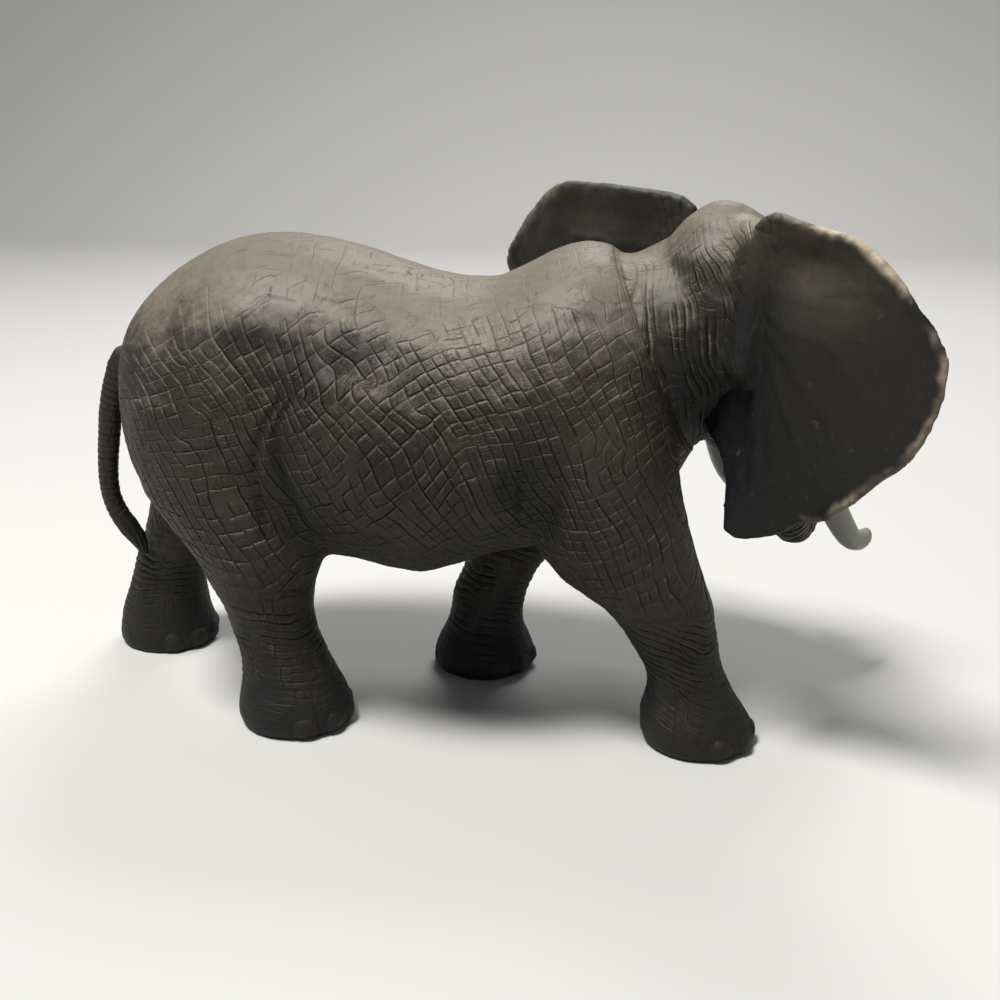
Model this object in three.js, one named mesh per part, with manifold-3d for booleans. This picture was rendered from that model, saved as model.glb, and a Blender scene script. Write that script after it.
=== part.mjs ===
// African elephant play figure, moulded in eight pieces that are glued together:
// two hollow body halves with the legs on them, a head with its trunk, two ears,
// two tusks and a tail.
//
// Millimetres. X runs towards the chest, Y to the animal's left, Z up from the ground.
// While the pieces are made, X = 0 lies under the dip of the back and Y = 0 is the joint
// between the body halves.
import * as THREE from "three";
import { mergeVertices } from "three/addons/utils/BufferGeometryUtils.js";
import Module from "manifold-3d";

const wasm = await Module();
wasm.setup();

// Driving sizes of the animal
const bodyLength = 132;
const torsoDepth = 72;
const bellyWidth = 70;
const legLength = 36;
const footLength = 25;
const neckLength = 50;
const faceLength = 92;
const earReach = 42;
const earHeight = 72;
const tuskLength = 40;
const tailLength = 60;

// Pose of the head: turned to the animal's left, with its right side lower
const headTurn = THREE.MathUtils.degToRad(52);
const headRoll = THREE.MathUtils.degToRad(2);
const headPlaceShares = [0.39, 0.091, 0.75];

// Moulding sizes
const wall = 4;
const clearance = 0.3;
const overrun = 3;
const pinRadius = 1.8;
const pinLength = 5;
const bossRadius = 3.8;
const spigotRadius = 16;
const spigotLength = 7;

// Facets
const torsoSides = 32;
const cavitySides = 20;
const legSides = 18;
const headSides = 24;
const eggSides = 10;
const nailSides = 8;
const cordSides = 12;
const plugSides = 24;
const pinSides = 12;
const earSides = 48;
const earRings = 5;

const ahead = new THREE.Vector3(1, 0, 0);
const toLeft = new THREE.Vector3(0, 1, 0);
const upward = new THREE.Vector3(0, 0, 1);

// Surfaces and solids

// Reads hand-chosen rows as one smooth curve. Column 0 is the station.
function smoothTable(rows) {
  const width = rows[0].length - 1;
  const stations = rows.map((row) => row[0]);
  const values = rows.flatMap((row) => row.slice(1));
  const curve = new THREE.CubicInterpolant(stations, values, width, new Float64Array(width));
  return (station) => Array.from(curve.evaluate(station));
}

// Stations of a table, with extra ones between each pair of rows
function stationsOf(rows, steps) {
  const stations = [];
  for (let i = 0; i + 1 < rows.length; i += 1) {
    for (let step = 0; step < steps; step += 1) {
      stations.push(THREE.MathUtils.lerp(rows[i][0], rows[i + 1][0], step / steps));
    }
  }
  stations.push(rows[rows.length - 1][0]);
  return stations;
}

// Closed surface through rings of points, with a fan over each end
function ringSurface(rings) {
  const sides = rings[0].length;
  const positions = rings.flat().flatMap((point) => point.toArray());
  const index = [];
  for (let ring = 0; ring + 1 < rings.length; ring += 1) {
    for (let side = 0; side < sides; side += 1) {
      const a = ring * sides + side;
      const b = ring * sides + ((side + 1) % sides);
      index.push(a, b, b + sides, a, b + sides, a + sides);
    }
  }
  for (const end of [0, rings.length - 1]) {
    const middle = rings[end].reduce((sum, point) => sum.add(point), new THREE.Vector3());
    const centre = positions.length / 3;
    positions.push(...middle.divideScalar(sides).toArray());
    for (let side = 0; side < sides; side += 1) {
      const a = end * sides + side;
      const b = end * sides + ((side + 1) % sides);
      index.push(...(end === 0 ? [centre, b, a] : [centre, a, b]));
    }
  }
  const geometry = new THREE.BufferGeometry();
  geometry.setAttribute("position", new THREE.Float32BufferAttribute(positions, 3));
  geometry.setIndex(index);
  return geometry;
}

// Positive when the faces of a closed surface point outwards
function signedVolume(geometry) {
  const position = geometry.attributes.position;
  const index = geometry.index.array;
  const corners = [new THREE.Vector3(), new THREE.Vector3(), new THREE.Vector3()];
  let total = 0;
  for (let i = 0; i < index.length; i += 3) {
    corners.forEach((corner, k) => corner.fromBufferAttribute(position, index[i + k]));
    total += corners[0].dot(corners[1].clone().cross(corners[2]));
  }
  return total;
}

// Solid inside a closed surface, whichever way it is wound
function solidOf(geometry) {
  const bare = new THREE.BufferGeometry();
  bare.setAttribute("position", geometry.attributes.position);
  bare.setIndex(geometry.index);
  const merged = mergeVertices(bare);
  const triangles = Uint32Array.from(merged.index.array);
  if (signedVolume(merged) < 0) {
    triangles.reverse();
  }
  const mesh = new wasm.Mesh({
    numProp: 3,
    vertProperties: Float32Array.from(merged.attributes.position.array),
    triVerts: triangles,
  });
  return new wasm.Manifold(mesh);
}

function joined(solids) {
  return solids.reduce((whole, solid) => whole.add(solid));
}

function cutBy(solid, tools) {
  return tools.reduce((rest, tool) => rest.subtract(tool), solid);
}

// Elliptical sections swept along a curve. A row is share along, x, y, z, half depth, half width.
// The width lies along the side direction, the depth square to it and to the curve. Folds, if
// any, swell and pinch the sections by turns over a stretch of the curve.
function sweep({ rows, place, scale, side, sides, steps, grow = 0, folds = null }) {
  const read = smoothTable(rows);
  const first = rows[0][0];
  const last = rows[rows.length - 1][0];
  const swells = new Map();
  const stations = stationsOf(rows, steps).filter((at) => !folds || at < folds.from || at > folds.to);
  if (folds) {
    for (let i = 0; i <= 2 * folds.count; i += 1) {
      const station = THREE.MathUtils.lerp(folds.from, folds.to, i / (2 * folds.count));
      swells.set(station, i % 2 === 0 ? -folds.depthShare : folds.depthShare);
    }
    stations.push(...swells.keys());
    stations.sort((a, b) => a - b);
  }
  const nudge = (last - first) / stations.length / 2;
  const rings = stations.map((station) => {
    const swell = 1 + (swells.get(station) ?? 0);
    const [x, y, z, depth, width] = read(station);
    const front = place(...read(Math.min(station + nudge, last)));
    const back = place(...read(Math.max(station - nudge, first)));
    const along = front.sub(back).normalize();
    const across = side.clone().addScaledVector(along, -side.dot(along)).normalize();
    const deep = along.clone().cross(across);
    const centre = place(x, y, z);
    centre.addScaledVector(along, (station === last ? grow : 0) - (station === first ? grow : 0));
    return Array.from({ length: sides }, (_, k) => {
      const angle = (2 * Math.PI * k) / sides;
      return centre
        .clone()
        .addScaledVector(across, Math.cos(angle) * (width * scale * swell + grow))
        .addScaledVector(deep, Math.sin(angle) * (depth * scale * swell + grow));
    });
  });
  return solidOf(ringSurface(rings));
}

// Ball stretched along three directions, then placed by a matrix
function egg(centre, radii, matrix, sides) {
  const geometry = new THREE.SphereGeometry(1, sides, sides / 2 + 1);
  geometry.scale(...radii);
  geometry.translate(...centre);
  geometry.applyMatrix4(matrix);
  return solidOf(geometry);
}

// Round plug between two distances from a point, along a direction
function plug({ point, direction, from, to, radius, sides = plugSides }) {
  const geometry = new THREE.CylinderGeometry(radius, radius, to - from, sides);
  geometry.applyQuaternion(new THREE.Quaternion().setFromUnitVectors(toLeft, direction));
  const middle = point.clone().addScaledVector(direction, (from + to) / 2);
  geometry.translate(...middle.toArray());
  return solidOf(geometry);
}

// Everything beyond a plane, as a block larger than the figure
function beyond(point, normal, offset) {
  const size = 2 * (bodyLength + faceLength);
  const geometry = new THREE.BoxGeometry(size, size, size);
  geometry.translate(offset + size / 2, 0, 0);
  geometry.applyQuaternion(new THREE.Quaternion().setFromUnitVectors(ahead, normal));
  geometry.translate(...point.toArray());
  return solidOf(geometry);
}

// Height of a level of the torso, from the belly at 0 to the back at 1
function levelOf(share) {
  return legLength + share * torsoDepth;
}

// Torso. A row is share of the body's length, then top, bottom and widest level as shares of
// the torso's depth, and the half width as a share of half the belly's width.
const torsoShares = [
  [-0.656, 0.655, 0.37, 0.49, 0.08],
  [-0.644, 0.693, 0.28, 0.49, 0.24],
  [-0.621, 0.757, 0.175, 0.505, 0.44],
  [-0.576, 0.847, 0.1, 0.52, 0.63],
  [-0.515, 0.928, 0.055, 0.513, 0.77],
  [-0.439, 0.99, 0.028, 0.498, 0.88],
  [-0.348, 1.009, 0.007, 0.467, 0.92],
  [-0.227, 0.97, -0.006, 0.415, 0.96],
  [-0.114, 0.903, -0.038, 0.362, 1],
  [0, 0.886, 0.041, 0.385, 0.97],
  [0.091, 0.969, 0.07, 0.445, 0.9],
  [0.152, 0.997, 0.11, 0.498, 0.845],
  [0.212, 0.965, 0.152, 0.528, 0.775],
  [0.265, 0.925, 0.208, 0.541, 0.7],
  [0.31, 0.85, 0.318, 0.556, 0.54],
  [0.334, 0.76, 0.415, 0.565, 0.34],
  [0.346, 0.685, 0.49, 0.573, 0.14],
];

function torso(inset, sides, steps) {
  const first = torsoShares[0][0];
  const last = torsoShares[torsoShares.length - 1][0];
  const middle = (first + last) / 2;
  const shortening = 1 - (2 * inset) / ((last - first) * bodyLength);
  const read = smoothTable(torsoShares);
  const rings = stationsOf(torsoShares, steps).map((station) => {
    const [topShare, bottomShare, widestShare, halfShare] = read(station);
    const x = (middle + (station - middle) * shortening) * bodyLength;
    const widest = levelOf(widestShare);
    const rise = Math.max(levelOf(topShare) - widest - inset, clearance);
    const drop = Math.max(widest - levelOf(bottomShare) - inset, clearance);
    const half = Math.max((halfShare * bellyWidth) / 2 - inset, clearance);
    return Array.from({ length: sides }, (_, k) => {
      const angle = (2 * Math.PI * k) / sides;
      const level = Math.cos(angle);
      const z = widest + level * (level > 0 ? rise : drop);
      return new THREE.Vector3(x, half * Math.sin(angle), z);
    });
  });
  return solidOf(ringSurface(rings));
}

// Legs, caught in mid stride. A foot's place is in shares of the body's length and of half the
// belly's width. A row is height, then shift forwards, shift outwards, half length and half
// width as shares of the foot's length. Heights run from 0 at the sole to 1 at the belly, and
// from there to 2 at the back.
const legs = [
  {
    side: -1,
    footShares: [-0.336, 0.549],
    rowShares: [
      [0, 0, 0, 0.488, 0.436],
      [0.033, 0, 0, 0.52, 0.468],
      [0.111, -0.004, 0, 0.528, 0.48],
      [0.222, -0.016, 0, 0.492, 0.456],
      [0.333, -0.048, -0.008, 0.436, 0.408],
      [0.444, -0.084, -0.008, 0.396, 0.372],
      [0.611, -0.152, -0.008, 0.376, 0.36],
      [0.778, -0.204, -0.008, 0.4, 0.376],
      [0.944, -0.248, -0.016, 0.48, 0.408],
      [1.056, -0.264, -0.02, 0.584, 0.432],
      [1.139, -0.336, -0.032, 0.704, 0.46],
      [1.25, -0.456, -0.06, 0.824, 0.512],
      [1.361, -0.512, -0.088, 0.868, 0.544],
      [1.528, -0.584, -0.12, 0.8, 0.56],
      [1.667, -0.56, -0.208, 0.64, 0.48],
      [1.778, -0.52, -0.3, 0.36, 0.32],
      [1.819, -0.52, -0.32, 0.12, 0.12],
    ],
  },
  {
    side: 1,
    footShares: [-0.689, 0.557],
    rowShares: [
      [0, 0, 0, 0.488, 0.436],
      [0.033, 0, 0, 0.512, 0.46],
      [0.111, 0, 0, 0.508, 0.46],
      [0.278, -0.004, -0.004, 0.452, 0.424],
      [0.417, 0.028, -0.008, 0.4, 0.384],
      [0.556, 0.08, -0.012, 0.376, 0.368],
      [0.694, 0.152, -0.016, 0.384, 0.376],
      [0.833, 0.252, -0.02, 0.4, 0.384],
      [1.028, 0.432, -0.032, 0.48, 0.416],
      [1.139, 0.632, -0.04, 0.6, 0.46],
      [1.25, 0.832, -0.06, 0.72, 0.504],
      [1.361, 1.02, -0.08, 0.8, 0.54],
      [1.5, 1.152, -0.12, 0.8, 0.56],
      [1.667, 1.28, -0.22, 0.64, 0.48],
      [1.778, 1.34, -0.3, 0.36, 0.32],
      [1.819, 1.34, -0.32, 0.12, 0.12],
    ],
  },
  {
    side: -1,
    footShares: [0.356, 0.457],
    rowShares: [
      [0, 0, 0, 0.472, 0.464],
      [0.033, 0, 0, 0.5, 0.492],
      [0.097, 0, 0, 0.504, 0.496],
      [0.194, -0.04, 0, 0.476, 0.464],
      [0.278, -0.068, 0, 0.416, 0.408],
      [0.361, -0.092, 0, 0.364, 0.368],
      [0.458, -0.124, 0.008, 0.344, 0.356],
      [0.603, -0.204, 0.02, 0.364, 0.36],
      [0.75, -0.288, 0.04, 0.412, 0.38],
      [0.897, -0.392, 0.048, 0.488, 0.4],
      [1.028, -0.608, 0.06, 0.62, 0.424],
      [1.111, -0.752, 0.072, 0.68, 0.452],
      [1.214, -0.84, 0.08, 0.68, 0.48],
      [1.333, -0.904, 0.08, 0.664, 0.496],
      [1.472, -0.94, 0.072, 0.648, 0.496],
      [1.611, -1, 0.04, 0.6, 0.46],
      [1.792, -1.16, -0.12, 0.48, 0.36],
      [1.875, -1.2, -0.28, 0.24, 0.2],
    ],
  },
  {
    side: 1,
    footShares: [-0.045, 0.457],
    rowShares: [
      [0, 0, 0, 0.472, 0.464],
      [0.033, 0, 0, 0.5, 0.488],
      [0.111, 0.008, 0, 0.508, 0.496],
      [0.222, 0.012, 0, 0.452, 0.448],
      [0.306, 0.012, 0, 0.384, 0.384],
      [0.428, 0.04, 0, 0.36, 0.36],
      [0.583, 0.08, 0, 0.368, 0.36],
      [0.744, 0.184, 0.012, 0.372, 0.372],
      [0.944, 0.36, 0.04, 0.424, 0.4],
      [1.083, 0.56, 0.06, 0.52, 0.44],
      [1.222, 0.76, 0.08, 0.62, 0.48],
      [1.361, 0.92, 0.08, 0.648, 0.496],
      [1.5, 1, 0.06, 0.632, 0.488],
      [1.639, 1.048, 0.02, 0.58, 0.448],
      [1.792, 1, -0.12, 0.48, 0.36],
      [1.875, 0.96, -0.28, 0.24, 0.2],
    ],
  },
];

// Height above the ground of a row of a leg
function legHeight(share) {
  return share <= 1 ? share * legLength : levelOf(share - 1);
}

// Centre and half sizes of a leg's section, in millimetres
function legSection(leg, share) {
  const [shiftX, shiftOut, halfLength, halfWidth] = smoothTable(leg.rowShares)(share);
  const x = leg.footShares[0] * bodyLength + shiftX * footLength;
  const y = leg.side * ((leg.footShares[1] * bellyWidth) / 2 + shiftOut * footLength);
  return { x, y, halfLength: halfLength * footLength, halfWidth: halfWidth * footLength };
}

function legSolid(leg) {
  const rings = stationsOf(leg.rowShares, 1).map((station) => {
    const { x, y, halfLength, halfWidth } = legSection(leg, station);
    return Array.from({ length: legSides }, (_, k) => {
      const angle = (2 * Math.PI * k) / legSides;
      const pointX = x + halfLength * Math.cos(angle);
      const pointY = y + halfWidth * Math.sin(angle);
      return new THREE.Vector3(pointX, pointY, legHeight(station));
    });
  });
  return solidOf(ringSurface(rings));
}

// Toenails, set round the front of each foot by their angle from straight ahead
const nailDegrees = [-66, -33, 0, 33, 66];
const nailWidth = 4.8;
const nailHeight = 5.2;
const nailDepth = 3;
const nailProud = 0.7;

function nails(leg) {
  const middle = nailHeight / 2 + clearance;
  const { x, y, halfLength, halfWidth } = legSection(leg, middle / legLength);
  return nailDegrees.map((degrees) => {
    const angle = THREE.MathUtils.degToRad(degrees);
    const reachX = (halfLength + nailProud - nailDepth / 2) * Math.cos(angle);
    const reachY = (halfWidth + nailProud - nailDepth / 2) * Math.sin(angle);
    const placed = new THREE.Matrix4().makeRotationZ(angle);
    placed.setPosition(x + reachX, y + reachY, middle);
    return egg([0, 0, 0], [nailDepth / 2, nailWidth / 2, nailHeight / 2], placed, nailSides);
  });
}

// Joint between body and neck: a plane that leans forwards towards the throat
const jointLean = THREE.MathUtils.degToRad(23);
const jointNormal = new THREE.Vector3(Math.cos(jointLean), 0, Math.sin(jointLean));
const jointShares = [0.252, 0.7];
const jointPoint = new THREE.Vector3(jointShares[0] * bodyLength, 0, levelOf(jointShares[1]));
const spigotDropShare = 0.08;
const spigotCentre = jointPoint
  .clone()
  .addScaledVector(upward, -spigotDropShare * neckLength)
  .addScaledVector(ahead, spigotDropShare * neckLength * Math.tan(jointLean));

// Tail, in shares of its own length from where it leaves the rump. Its first rows are the peg
// that plugs into the rump between the two halves.
const tailRootShares = [-0.645, 0.618];
const tailRoot = new THREE.Vector3(tailRootShares[0] * bodyLength, 0, levelOf(tailRootShares[1]));
const tailPegShare = 0.12;
const tailShares = [
  [-tailPegShare, tailPegShare, 0, 0, 0.045, 0.045],
  [-0.04, 0.04, 0, 0, 0.047, 0.047],
  [0.04, -0.03, 0.002, -0.015, 0.052, 0.052],
  [0.12, -0.068, 0.01, -0.09, 0.053, 0.053],
  [0.25, -0.118, 0.03, -0.21, 0.048, 0.048],
  [0.41, -0.158, 0.055, -0.365, 0.044, 0.044],
  [0.56, -0.186, 0.078, -0.5, 0.041, 0.041],
  [0.69, -0.192, 0.095, -0.61, 0.04, 0.038],
  [0.81, -0.165, 0.11, -0.71, 0.042, 0.04],
  [0.92, -0.113, 0.125, -0.8, 0.036, 0.034],
  [1, -0.085, 0.13, -0.875, 0.012, 0.012],
];

function tail(grow) {
  return sweep({
    rows: tailShares,
    place: (x, y, z) => new THREE.Vector3(x, y, z).multiplyScalar(tailLength).add(tailRoot),
    scale: tailLength,
    side: toLeft,
    sides: cordSides,
    steps: 2,
    grow,
  });
}

// Locating pins across the halves, as shares of the body's length and the torso's depth
const pinShares = [
  [-0.5, 0.715],
  [-0.17, 0.775],
  [0.1, 0.775],
  [-0.38, 0.175],
  [0.06, 0.22],
];

const outerSkin = torso(0, torsoSides, 2);
const middleOfWall = torso(wall / 2, cavitySides, 1);
const bodyWhole = joined([outerSkin, ...legs.map(legSolid), ...legs.flatMap(nails)]);
const neckMouth = plug({
  point: spigotCentre,
  direction: jointNormal,
  from: -spigotLength - wall - overrun,
  to: overrun,
  radius: spigotRadius + clearance,
});
const tailSeat = plug({
  point: tailRoot,
  direction: ahead,
  from: -overrun,
  to: tailPegShare * tailLength + wall,
  radius: tailShares[0][5] * tailLength + wall,
});
const bodyCavity = cutBy(torso(wall, cavitySides, 1), [
  beyond(jointPoint, jointNormal, -wall),
  tailSeat,
]);
const bodyShell = cutBy(bodyWhole, [
  bodyCavity,
  beyond(jointPoint, jointNormal, 0),
  neckMouth,
  tail(clearance),
]);

// One half of the body, its bosses and its pins or their sockets
function bodyHalf(side, holdsPins) {
  const outward = toLeft.clone().multiplyScalar(side);
  const origin = new THREE.Vector3();
  const ownSide = beyond(origin, outward, clearance / 2);
  const places = pinShares.map(
    ([along, level]) => new THREE.Vector3(along * bodyLength, 0, levelOf(level)),
  );
  const bosses = places.map((point) =>
    plug({
      point,
      direction: outward,
      from: 0,
      to: bellyWidth / 2,
      radius: bossRadius,
      sides: pinSides,
    }),
  );
  const half = joined([bodyShell, ...bosses.map((boss) => boss.intersect(middleOfWall))]);
  const trimmed = half.intersect(ownSide);
  if (holdsPins) {
    const pins = places.map((point) =>
      plug({
        point,
        direction: outward,
        from: -pinLength,
        to: wall,
        radius: pinRadius,
        sides: pinSides,
      }),
    );
    return joined([trimmed, ...pins]);
  }
  const sockets = places.map((point) =>
    plug({
      point,
      direction: outward,
      from: -overrun,
      to: pinLength + clearance,
      radius: pinRadius + clearance,
      sides: pinSides,
    }),
  );
  return cutBy(trimmed, sockets);
}

// Head. Its own frame has X out of the face, Y to its left and Z through the crown.
const faceAhead = new THREE.Vector3(Math.cos(headTurn), Math.sin(headTurn), 0);
const levelLeft = new THREE.Vector3(-Math.sin(headTurn), Math.cos(headTurn), 0);
const faceLeft = levelLeft
  .clone()
  .multiplyScalar(Math.cos(headRoll))
  .addScaledVector(upward, Math.sin(headRoll));
const faceUp = faceAhead.clone().cross(faceLeft);
const headMatrix = new THREE.Matrix4()
  .makeBasis(faceAhead, faceLeft, faceUp)
  .setPosition(
    headPlaceShares[0] * bodyLength,
    (headPlaceShares[1] * bellyWidth) / 2,
    levelOf(headPlaceShares[2]),
  );

function inHead(x, y, z) {
  return new THREE.Vector3(x, y, z).multiplyScalar(faceLength).applyMatrix4(headMatrix);
}

// Skull and trunk in one curve, from the crown down the face and into the curl of the tip.
// Every column is in shares of the face's length.
const faceShares = [
  [0, -0.027, 0, 0.27, 0.03, 0.03],
  [0.015, -0.033, 0, 0.261, 0.07, 0.066],
  [0.045, -0.038, 0, 0.238, 0.118, 0.106],
  [0.11, -0.038, 0, 0.18, 0.172, 0.16],
  [0.2, -0.033, 0, 0.098, 0.207, 0.201],
  [0.3, -0.011, 0, 0, 0.217, 0.207],
  [0.4, 0.033, -0.008, -0.098, 0.201, 0.195],
  [0.5, 0.087, -0.019, -0.196, 0.165, 0.16],
  [0.6, 0.136, -0.028, -0.283, 0.133, 0.132],
  [0.71, 0.18, -0.03, -0.37, 0.103, 0.106],
  [0.82, 0.219, -0.03, -0.446, 0.083, 0.085],
  [0.92, 0.258, -0.028, -0.517, 0.064, 0.065],
  [0.995, 0.297, -0.026, -0.567, 0.05, 0.051],
  [1.06, 0.339, -0.022, -0.589, 0.04, 0.041],
  [1.13, 0.38, -0.018, -0.566, 0.036, 0.037],
  [1.2, 0.396, -0.014, -0.51, 0.034, 0.035],
  [1.25, 0.392, -0.012, -0.468, 0.031, 0.033],
];

// Ring folds of the trunk, from the tusks down to the tip
const trunkFolds = { from: 0.62, to: 1.22, count: 13, depthShare: 0.035 };

function face() {
  return sweep({
    rows: faceShares,
    place: inHead,
    scale: faceLength,
    side: faceLeft,
    sides: headSides,
    steps: 1,
    folds: trunkFolds,
  });
}

// Neck, from inside the shoulders to inside the skull, in shares of its own length from the joint
const neckShares = [
  [0, -0.3, 0, -0.15, 0.48, 0.43],
  [0.25, -0.06, 0, -0.08, 0.47, 0.43],
  [0.5, 0.12, 0.02, -0.01, 0.43, 0.42],
  [0.75, 0.26, 0.1, 0.07, 0.416, 0.38],
  [1, 0.34, 0.2, 0.1, 0.34, 0.32],
];

function inNeck(x, y, z) {
  return new THREE.Vector3(x, y, z).multiplyScalar(neckLength).add(jointPoint);
}

function neck() {
  return sweep({
    rows: neckShares,
    place: inNeck,
    scale: neckLength,
    side: toLeft,
    sides: headSides,
    steps: 2,
  });
}

// Lower jaw, tucked behind the root of the trunk
const jawShares = [
  [0, -0.01, -0.005, -0.2, 0.06, 0.08],
  [0.4, 0.042, -0.028, -0.3, 0.055, 0.06],
  [0.8, 0.093, -0.04, -0.385, 0.042, 0.044],
  [1, 0.12, -0.045, -0.415, 0.024, 0.026],
];

function jaw() {
  return sweep({
    rows: jawShares,
    place: inHead,
    scale: faceLength,
    side: faceLeft,
    sides: cordSides,
    steps: 2,
  });
}

// Small forms of the face on each side: centre and radii in shares of the face's length
const faceForms = {
  brow: { centreShares: [0.13, 0.135, 0.06], radiusShares: [0.06, 0.05, 0.035] },
  eye: { centreShares: [0.125, 0.155, 0.01], radiusShares: [0.028, 0.024, 0.024] },
  cheek: { centreShares: [0.05, 0.13, -0.15], radiusShares: [0.1, 0.08, 0.11] },
};

function faceForm({ centreShares, radiusShares }, side) {
  const centre = centreShares.map((share) => share * faceLength);
  centre[1] *= side;
  return egg(centre, radiusShares.map((share) => share * faceLength), headMatrix, eggSides);
}

// The muzzle bends a little towards the animal's right, and its right side hangs lower
const muzzleBendShare = -0.027;
const muzzleTiltShare = 0.033;

function onMuzzle(side, x, y, z) {
  const across = muzzleBendShare * faceLength + side * y;
  return new THREE.Vector3(x, across, z + side * muzzleTiltShare * faceLength);
}

// Sheath of skin round the root of a tusk
const sheathShares = { centre: [0.125, 0.139, -0.265], radius: [0.055, 0.052, 0.1] };

function sheath(side) {
  const [x, y, z] = sheathShares.centre.map((share) => share * faceLength);
  const radii = sheathShares.radius.map((share) => share * faceLength);
  return egg(onMuzzle(side, x, y, z).toArray(), radii, headMatrix, eggSides);
}

// Tusks, from their root in the sheath to the blunt tip, in shares of the tusk's length
const tuskRootShares = [0.086, 0.137, -0.19];
const tuskShares = [
  [0, 0, 0, 0, 0.08, 0.08],
  [0.2, 0.06, 0.02, -0.19, 0.084, 0.084],
  [0.4, 0.16, 0.06, -0.38, 0.083, 0.083],
  [0.6, 0.295, 0.09, -0.58, 0.079, 0.079],
  [0.78, 0.425, 0.1, -0.725, 0.071, 0.071],
  [0.92, 0.53, 0.11, -0.785, 0.061, 0.061],
  [1.02, 0.61, 0.11, -0.77, 0.049, 0.049],
  [1.07, 0.645, 0.11, -0.74, 0.02, 0.02],
];

function tusk(side, grow) {
  const [rootX, rootY, rootZ] = tuskRootShares.map((share) => share * faceLength);
  const place = (x, y, z) =>
    onMuzzle(
      side,
      rootX + x * tuskLength,
      rootY + y * tuskLength,
      rootZ + z * tuskLength,
    ).applyMatrix4(headMatrix);
  return sweep({
    rows: tuskShares,
    place,
    scale: tuskLength,
    side: faceLeft,
    sides: cordSides,
    steps: 2,
    grow,
  });
}

// Ears. An outline's points run outwards from the root and up from the eye's level, in shares
// of the ear's reach and height. The lower part of an ear bends back, or forwards where the
// shoulder pushes it off: the bend grows between two levels, and fades out between two reaches.
const ears = [
  {
    side: -1,
    sweep: THREE.MathUtils.degToRad(7),
    rootShares: [-0.163, 0.152, 0],
    cupShare: 0.071,
    bendShare: 0.19,
    bendLevelShares: [-0.2, -0.6],
    bendReachShares: [-0.1, 0.6],
    outlineShares: [
      [-0.19, 0.11], [-0.12, 0.22], [-0.03, 0.3], [0.07, 0.35], [0.144, 0.362], [0.285, 0.35],
      [0.431, 0.337], [0.508, 0.329], [0.603, 0.299], [0.725, 0.253], [0.827, 0.191],
      [0.929, 0.122], [0.99, 0.059], [1.005, 0], [0.992, -0.062], [0.968, -0.13],
      [0.912, -0.192], [0.822, -0.253], [0.766, -0.279], [0.672, -0.351], [0.583, -0.394],
      [0.524, -0.426], [0.402, -0.445], [0.338, -0.487], [0.242, -0.512], [0.155, -0.524],
      [0.097, -0.516], [0.07, -0.49], [0.036, -0.424], [-0.028, -0.352], [-0.1, -0.3],
      [-0.2, -0.25], [-0.21, -0.1],
    ],
  },
  {
    side: 1,
    sweep: THREE.MathUtils.degToRad(10),
    rootShares: [-0.022, 0.2, 0],
    cupShare: 0,
    bendShare: -0.62,
    bendLevelShares: [0.3, -0.4],
    bendReachShares: [1.2, 2],
    outlineShares: [
      [-0.19, 0.11], [-0.19, 0.25], [-0.14, 0.34], [-0.031, 0.357], [0.092, 0.365], [0.207, 0.371],
      [0.37, 0.372], [0.572, 0.373], [0.658, 0.36], [0.762, 0.32], [0.862, 0.27],
      [0.987, 0.192], [1.087, 0.123], [1.131, 0.071], [1.14, 0.01], [1.12, -0.07], [1.07, -0.14],
      [1, -0.2], [0.9, -0.26], [0.82, -0.3], [0.72, -0.36], [0.62, -0.4], [0.55, -0.43],
      [0.42, -0.455], [0.33, -0.49], [0.24, -0.515], [0.15, -0.524], [0.09, -0.505],
      [0.05, -0.45], [0, -0.38], [-0.07, -0.32], [-0.15, -0.27], [-0.21, -0.2], [-0.21, -0.05],
    ],
  },
];
const earMiddleShares = [0.42, -0.06];
const earRootThickness = 3.2;
const earRimThickness = 1.5;
const earRollDepth = 2.6;
const earRollShare = 0.09;
const earRipple = 0.6;
const earRipples = 7;

// Frame of one ear: X outwards, Y up the ear, Z through the sheet towards the animal's back
function earMatrix(ear) {
  const outwards = new THREE.Vector3(-Math.sin(ear.sweep), ear.side * Math.cos(ear.sweep), 0);
  const back = new THREE.Vector3(-Math.cos(ear.sweep), -ear.side * Math.sin(ear.sweep), 0);
  const [x, y, z] = ear.rootShares.map((share) => share * faceLength);
  const local = new THREE.Matrix4().makeBasis(outwards, upward, back);
  local.setPosition(x, ear.side * y, z);
  return headMatrix.clone().multiply(local);
}

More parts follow.
